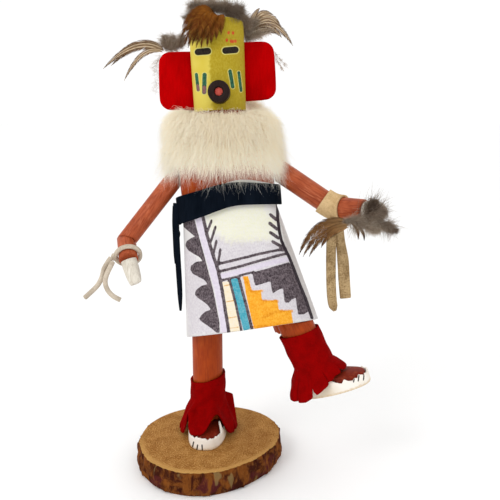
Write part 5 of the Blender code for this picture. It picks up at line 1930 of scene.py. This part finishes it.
@dataclass(frozen=True)
class Tuft:
    """A downy feather: long loose barbs along a soft spine, at spots of the picture."""

    root: Point
    tip: Point
    reach: float = 6.0
    count: int = 420
    lift: float = 1.1
    shade: float = 0.0
    light: float = 0.3
    bend: Point = (0.0, 0.0, -0.25)
    width: float = 0.15

    def barbs(self, random: np.random.Generator) -> Barbs:
        """Lay the barbs."""
        root, tip = PICTURE.spot(self.root), PICTURE.spot(self.tip)
        ahead = unit(tip - root)
        share = random.random(self.count) ** 0.9
        loose = random.normal(0, 0.11 * self.reach * MM, (self.count, 3))
        start = root + (tip - root) * share[:, None] + loose
        round_it = random.normal(0, 1, (self.count, 3))
        round_it = unit(round_it - (round_it @ ahead)[:, None] * ahead)
        way = unit(ahead * random.uniform(0.1, 1.0, (self.count, 1)) + round_it * self.lift)
        clump = unit(random.normal(0, 1, (24, 3)))[random.integers(0, 24, self.count)]
        way = unit(way + clump * 0.35)
        length = self.reach * MM * random.uniform(0.35, 1.1, self.count) * (1.05 - 0.45 * share)
        step = (length / 3)[:, None]
        curl = unit(random.normal(0, 1, (self.count, 3))) * 0.35 + np.array(self.bend)
        first = start + way * step
        second = first + unit(way + curl * 0.5) * step
        end = second + unit(way + curl * 1.1) * step
        along = np.tile(np.linspace(0, 1, 4), (self.count, 1))
        tone = np.clip(random.normal(self.light, 0.28, self.count), 0, 1)
        shade = np.full(self.count, self.shade)
        return Barbs(
            np.stack([start, first, second, end], axis=1),
            random.uniform(0.7, 1.3, self.count) * self.width * MM,
            along,
            np.zeros((self.count, 4)),
            np.repeat(tone[:, None], 4, 1),
            np.repeat(shade[:, None], 4, 1),
        )


@dataclass(frozen=True)
class Plume:
    """A bunch of feathers that stands for one CAD node: hackles and the down at their roots."""

    name: str
    falls: tuple[tuple[Point, Point, Point, float, float], ...]
    tufts: tuple[Tuft, ...]
    seed: int

    def build(self, vane: bpy.types.Material, down: bpy.types.Material) -> None:
        """Make the hackles as one piece and the down as another."""
        random = np.random.default_rng(self.seed)
        vanes = [Hackle(*fall).barbs(random) for fall in self.falls]
        hackles = Barbs.piece(f"{self.name}_hackles", vanes, 0.35)
        dress(hackles, vane, Slot.FEATHER, self.name)
        fluff = Barbs.piece(f"{self.name}_down", [one.barbs(random) for one in self.tufts], 0.1)
        dress(fluff, down, Slot.FEATHER)


@dataclass(frozen=True)
class Feathers:
    """Every bunch of feathers on the doll."""

    rust: Hair = Hair(
        "rust_hackle",
        (
            (0.0, (0.06, 0.016, 0.004)), (0.3, (0.21, 0.056, 0.003)), (0.7, (0.12, 0.026, 0.003)),
            (1.0, (0.04, 0.007, 0.003)),
        ),
        (0.42, 0.19, 0.030),
        (0.035, 0.008, 0.004),
        roughness=0.45,
    )
    barred: Hair = Hair(
        "barred_hackle",
        (
            (0.0, (0.40, 0.27, 0.15)), (0.6, (0.26, 0.14, 0.07)), (0.9, (0.12, 0.055, 0.03)),
            (1.0, (0.03, 0.02, 0.014)),
        ),
        (0.46, 0.30, 0.16),
        (0.030, 0.015, 0.010),
        (
            (0.14, 0.36, (0.78, 0.64, 0.44), 0.8), (0.46, 0.64, (0.08, 0.04, 0.022), 0.85),
            (0.86, 1.2, (0.03, 0.016, 0.011), 0.9),
        ),
        roughness=0.5,
    )
    tawny: Hair = Hair(
        "tawny_hackle",
        (
            (0.0, (0.34, 0.20, 0.09)), (0.5, (0.16, 0.065, 0.020)), (0.85, (0.07, 0.026, 0.010)),
            (1.0, (0.02, 0.010, 0.007)),
        ),
        (0.44, 0.24, 0.09),
        (0.02, 0.010, 0.008),
        ((0.72, 1.2, (0.025, 0.012, 0.009), 0.85),),
        roughness=0.45,
    )
    grey: Hair = Hair(
        "grey_down",
        ((0.0, (0.12, 0.07, 0.045)), (0.5, (0.28, 0.19, 0.13)), (1.0, (0.50, 0.40, 0.31))),
        (0.74, 0.63, 0.50),
        (0.05, 0.025, 0.014),
        roughness=0.85,
    )

    def crest(self) -> Plume:
        """The golden-brown hackles that fall over the brow, and the down round their roots."""
        falls = (
            ((212, 13, 9), (198, 4, -5), (182, 26, 4), 9.1, 0.15),
            ((212, 14, 8), (193, 7, -6), (181, 37, 2), 9.9, 0.25),
            ((213, 14, 8), (194, 10, -7), (184, 46, 0), 9.9, 0.45),
            ((213, 14, 7), (197, 10, -7), (188, 48, -1), 9.9, 0.30),
            ((214, 14, 7), (200, 11, -7), (192, 46, -1), 9.9, 0.55),
            ((214, 15, 7), (203, 12, -7), (196, 48, -2), 9.1, 0.40),
            ((215, 15, 7), (206, 12, -7), (201, 48, -2), 9.1, 0.10),
            ((216, 15, 7), (210, 13, -7), (207, 47, -2), 8.2, 0.15),
            ((217, 15, 7), (213, 14, -7), (211, 44, -2), 8.2, 0.0),
            ((218, 15, 7), (217, 14, -6), (216, 40, -2), 7.4, 0.0),
            ((219, 15, 7), (221, 14, -5), (221, 35, -1), 7.4, 0.1),
            ((212, 13, 8), (203, 3, -4), (188, 20, 5), 8.2, 0.1),
            ((213, 13, 6), (202, 6, -9), (190, 38, -4), 9.1, 0.0),
            ((214, 13, 6), (206, 8, -9), (198, 40, -4), 9.1, 0.0),
            ((216, 14, 6), (211, 10, -8), (206, 38, -4), 8.2, 0.0),
            ((214, 12, 7), (200, 4, -7), (186, 30, -1), 9.1, 0.05),
        )
        tufts = (
            Tuft((206, 8, 12), (230, 8, 12), 8.5, 1500, shade=0.3),
            Tuft((212, 12, 12), (190, 6, 8), 10.5, 1300, shade=0.15),
            Tuft((210, 10, 14), (196, 4, 14), 9.8, 1092, light=0.4),
            Tuft((214, 10, 16), (210, 3, 16), 8.4, 882, light=0.4),
            Tuft((216, 10, 14), (226, 4, 14), 8.4, 1008, light=0.3),
            Tuft((222, 12, 12), (242, 9, 14), 10.5, 1470, shade=0.45),
            Tuft((226, 12, 10), (240, 14, 12), 9.1, 1176, shade=0.6),
            Tuft((238, 12, 18), (248, 26, 26), 9.1, 1176, shade=0.3),
            Tuft((243, 22, 27), (248, 40, 31), 7.7, 966, light=0.45),
            Tuft((196, 12, 12), (184, 18, 12), 7.0, 546, shade=0.2, light=0.4),
            Tuft((208, 14, 4), (186, 30, 2), 5.6, 546, shade=0.1, light=0.5),
        )
        return Plume("crest_feathers", falls, tufts, 21)

    def right_spray(self) -> Plume:
        """The barred hackles that arch out behind the doll's right ear."""
        falls = (
            ((164, 51, 32), (137, 33, 31), (103, 69, 29), 6.8, 0.0),
            ((164, 50, 33), (138, 36, 32), (111, 66, 30), 6.0, 0.1),
            ((163, 52, 31), (142, 42, 30), (124, 81, 29), 4.9, 0.0),
            ((163, 49, 34), (144, 35, 34), (119, 52, 32), 5.7, 0.05),
            ((164, 50, 34), (150, 40, 34), (140, 44, 33), 5.2, 0.25),
        )
        tufts = (
            Tuft((166, 50, 33), (174, 38, 33), 9.1, 1302, light=0.45),
            Tuft((170, 50, 33), (181, 43, 32), 7.0, 882, light=0.4),
            Tuft((165, 48, 33), (165, 36, 34), 8.4, 882, shade=0.15),
            Tuft((180, 48, 31), (183, 36, 30), 7.7, 798, shade=0.15, light=0.4),
            Tuft((162, 54, 33), (154, 70, 34), 8.0, 150, light=1.0, width=0.13),
            Tuft((158, 68, 34), (155, 92, 34), 7.0, 130, light=1.0, width=0.12),
        )
        return Plume("side_feathers_right", falls, tufts, 22)

    def left_spray(self) -> Plume:
        """The fan of barred hackles behind the doll's left ear."""
        falls = (
            ((248, 35, 33), (272, 8, 32), (293, 46, 30), 7.3, 0.0),
            ((248, 34, 34), (270, 2, 33), (284, 36, 32), 6.5, 0.1),
            ((249, 33, 35), (264, 2, 34), (280, 24, 33), 6.0, 0.0),
            ((249, 33, 35), (258, 6, 35), (272, 14, 34), 5.5, 0.0),
            ((249, 34, 35), (252, 14, 35), (260, 8, 34), 4.7, 0.0),
            ((250, 36, 32), (268, 18, 30), (282, 38, 29), 6.5, 0.0),
            ((250, 36, 31), (264, 24, 29), (276, 34, 28), 5.5, 0.35),
        )
        tufts = (
            Tuft((247, 36, 33), (256, 20, 34), 9.1, 1092, light=0.55),
            Tuft((247, 38, 32), (262, 33, 30), 7.0, 882, light=0.95),
            Tuft((256, 35, 30), (273, 30, 29), 5.6, 798, light=1.0),
            Tuft((246, 36, 33), (248, 18, 32), 7.7, 882, shade=0.1),
            Tuft((274, 52, 33), (286, 66, 34), 4.2, 126, lift=0.25, light=0.9),
            Tuft((274, 56, 33), (283, 70, 34), 4.2, 105, lift=0.2, light=0.9),
        )
        return Plume("side_feathers_left", falls, tufts, 23)

    def hand(self) -> Plume:
        """The bunch in the raised hand."""
        falls = (
            ((350, 222, -30), (312, 218, -31), (299, 255, -28), 6.6, 0.1),
            ((350, 224, -31), (318, 224, -32), (303, 257, -29), 6.0, 0.0),
            ((350, 225, -32), (324, 226, -33), (309, 257, -30), 5.6, 0.1),
            ((349, 227, -32), (328, 230, -33), (321, 248, -31), 4.6, 0.0),
            ((349, 221, -29), (318, 215, -30), (303, 245, -27), 5.4, 0.3),
            ((351, 223, -31), (360, 228, -33), (358, 240, -33), 2.6, 0.4),
            ((352, 223, -30), (366, 230, -32), (364, 241, -32), 2.4, 0.6),
        )
        tufts = (
            Tuft((354, 220, -28), (390, 227, -29), 9.0, 3900, light=0.5, shade=0.22),
            Tuft((369, 212, -30), (374, 202, -31), 8.0, 1500, shade=0.75, light=0.3),
            Tuft((366, 215, -29), (384, 212, -29), 10.0, 2500, light=0.45, shade=0.25),
            Tuft((386, 227, -29), (397, 231, -29), 5.5, 900, shade=0.6),
            Tuft((366, 226, -31), (378, 230, -31), 7.5, 1500, light=0.55, width=0.14),
            Tuft(
                (364, 212, -28), (380, 208, -28), 20.0, 330, shade=0.45, bend=(0.1, 0.0, 0.2),
                width=0.2,
            ),
            Tuft(
                (350, 222, -31), (360, 226, -31), 15.0, 260, bend=(0.1, 0.0, -0.6), light=0.5,
                shade=0.2, width=0.18,
            ),
            Tuft(
                (384, 224, -31), (392, 230, -30), 14.0, 220, bend=(0.0, 0.0, -0.3), shade=0.4,
                width=0.18,
            ),
            Tuft((358, 219, -30), (344, 222, -30), 5.5, 1100, light=0.5, shade=0.2),
        )
        return Plume("hand_feathers", falls, tufts, 24)

    def build(self) -> None:
        """Make the crest, the sprays behind the ears and the bunch in the raised hand."""
        barred, grey = self.barred.build(), self.grey.build()
        self.crest().build(self.rust.build(), grey)
        self.right_spray().build(barred, grey)
        self.left_spray().build(barred, grey)
        self.hand().build(self.tawny.build(), grey)


@dataclass(frozen=True)
class Studio:
    """A pale floor and soft light."""

    floor_size: float = 12.0

    def light(self, name: str, place: Point, size: float, power: float) -> None:
        """A square soft light that looks at the doll."""
        data = bpy.data.lights.new(name, "AREA")
        data.size = size
        data.energy = power
        lamp = bpy.data.objects.new(name, data)
        lamp.location = place
        aim = Vector((0.02, 0, 0.18)) - Vector(place)
        lamp.rotation_euler = aim.to_track_quat("-Z", "Y").to_euler()
        bpy.context.scene.collection.objects.link(lamp)

    def build(self) -> None:
        """Make the floor, the sky and the lights."""
        bm = bmesh.new()
        bmesh.ops.create_grid(bm, x_segments=1, y_segments=1, size=self.floor_size / 2)
        floor = as_object("studio_floor", bm)
        recipe = Recipe("studio_floor")
        recipe.set("Base Color", (0.97, 0.97, 0.965))
        recipe.set("Roughness", 0.9)
        floor.data.materials.append(recipe.material)
        world = bpy.data.worlds.new("studio")
        world.use_nodes = True
        backdrop = world.node_tree.nodes["Background"]
        backdrop.inputs["Color"].default_value = (1.0, 1.0, 1.0, 1.0)
        backdrop.inputs["Strength"].default_value = 1.04
        bpy.context.scene.world = world
        self.light("key_light", (-0.70, -0.80, 0.95), 0.5, 4.0)
        bpy.context.scene.view_settings.view_transform = "Standard"


def main() -> None:
    """Build the scene, piece by piece."""
    logging.basicConfig(level=logging.INFO, format="%(message)s")
    PICTURE.camera()
    Lace().build()
    Studio().build()
    LogSlice().build()
    Limbs().build()
    Boots().build()
    Kilt().build()
    Sash().build()
    Cuff().build()
    Head().build()
    FurCollar().build()
    Feathers().build()


if __name__ == "__main__":
    main()
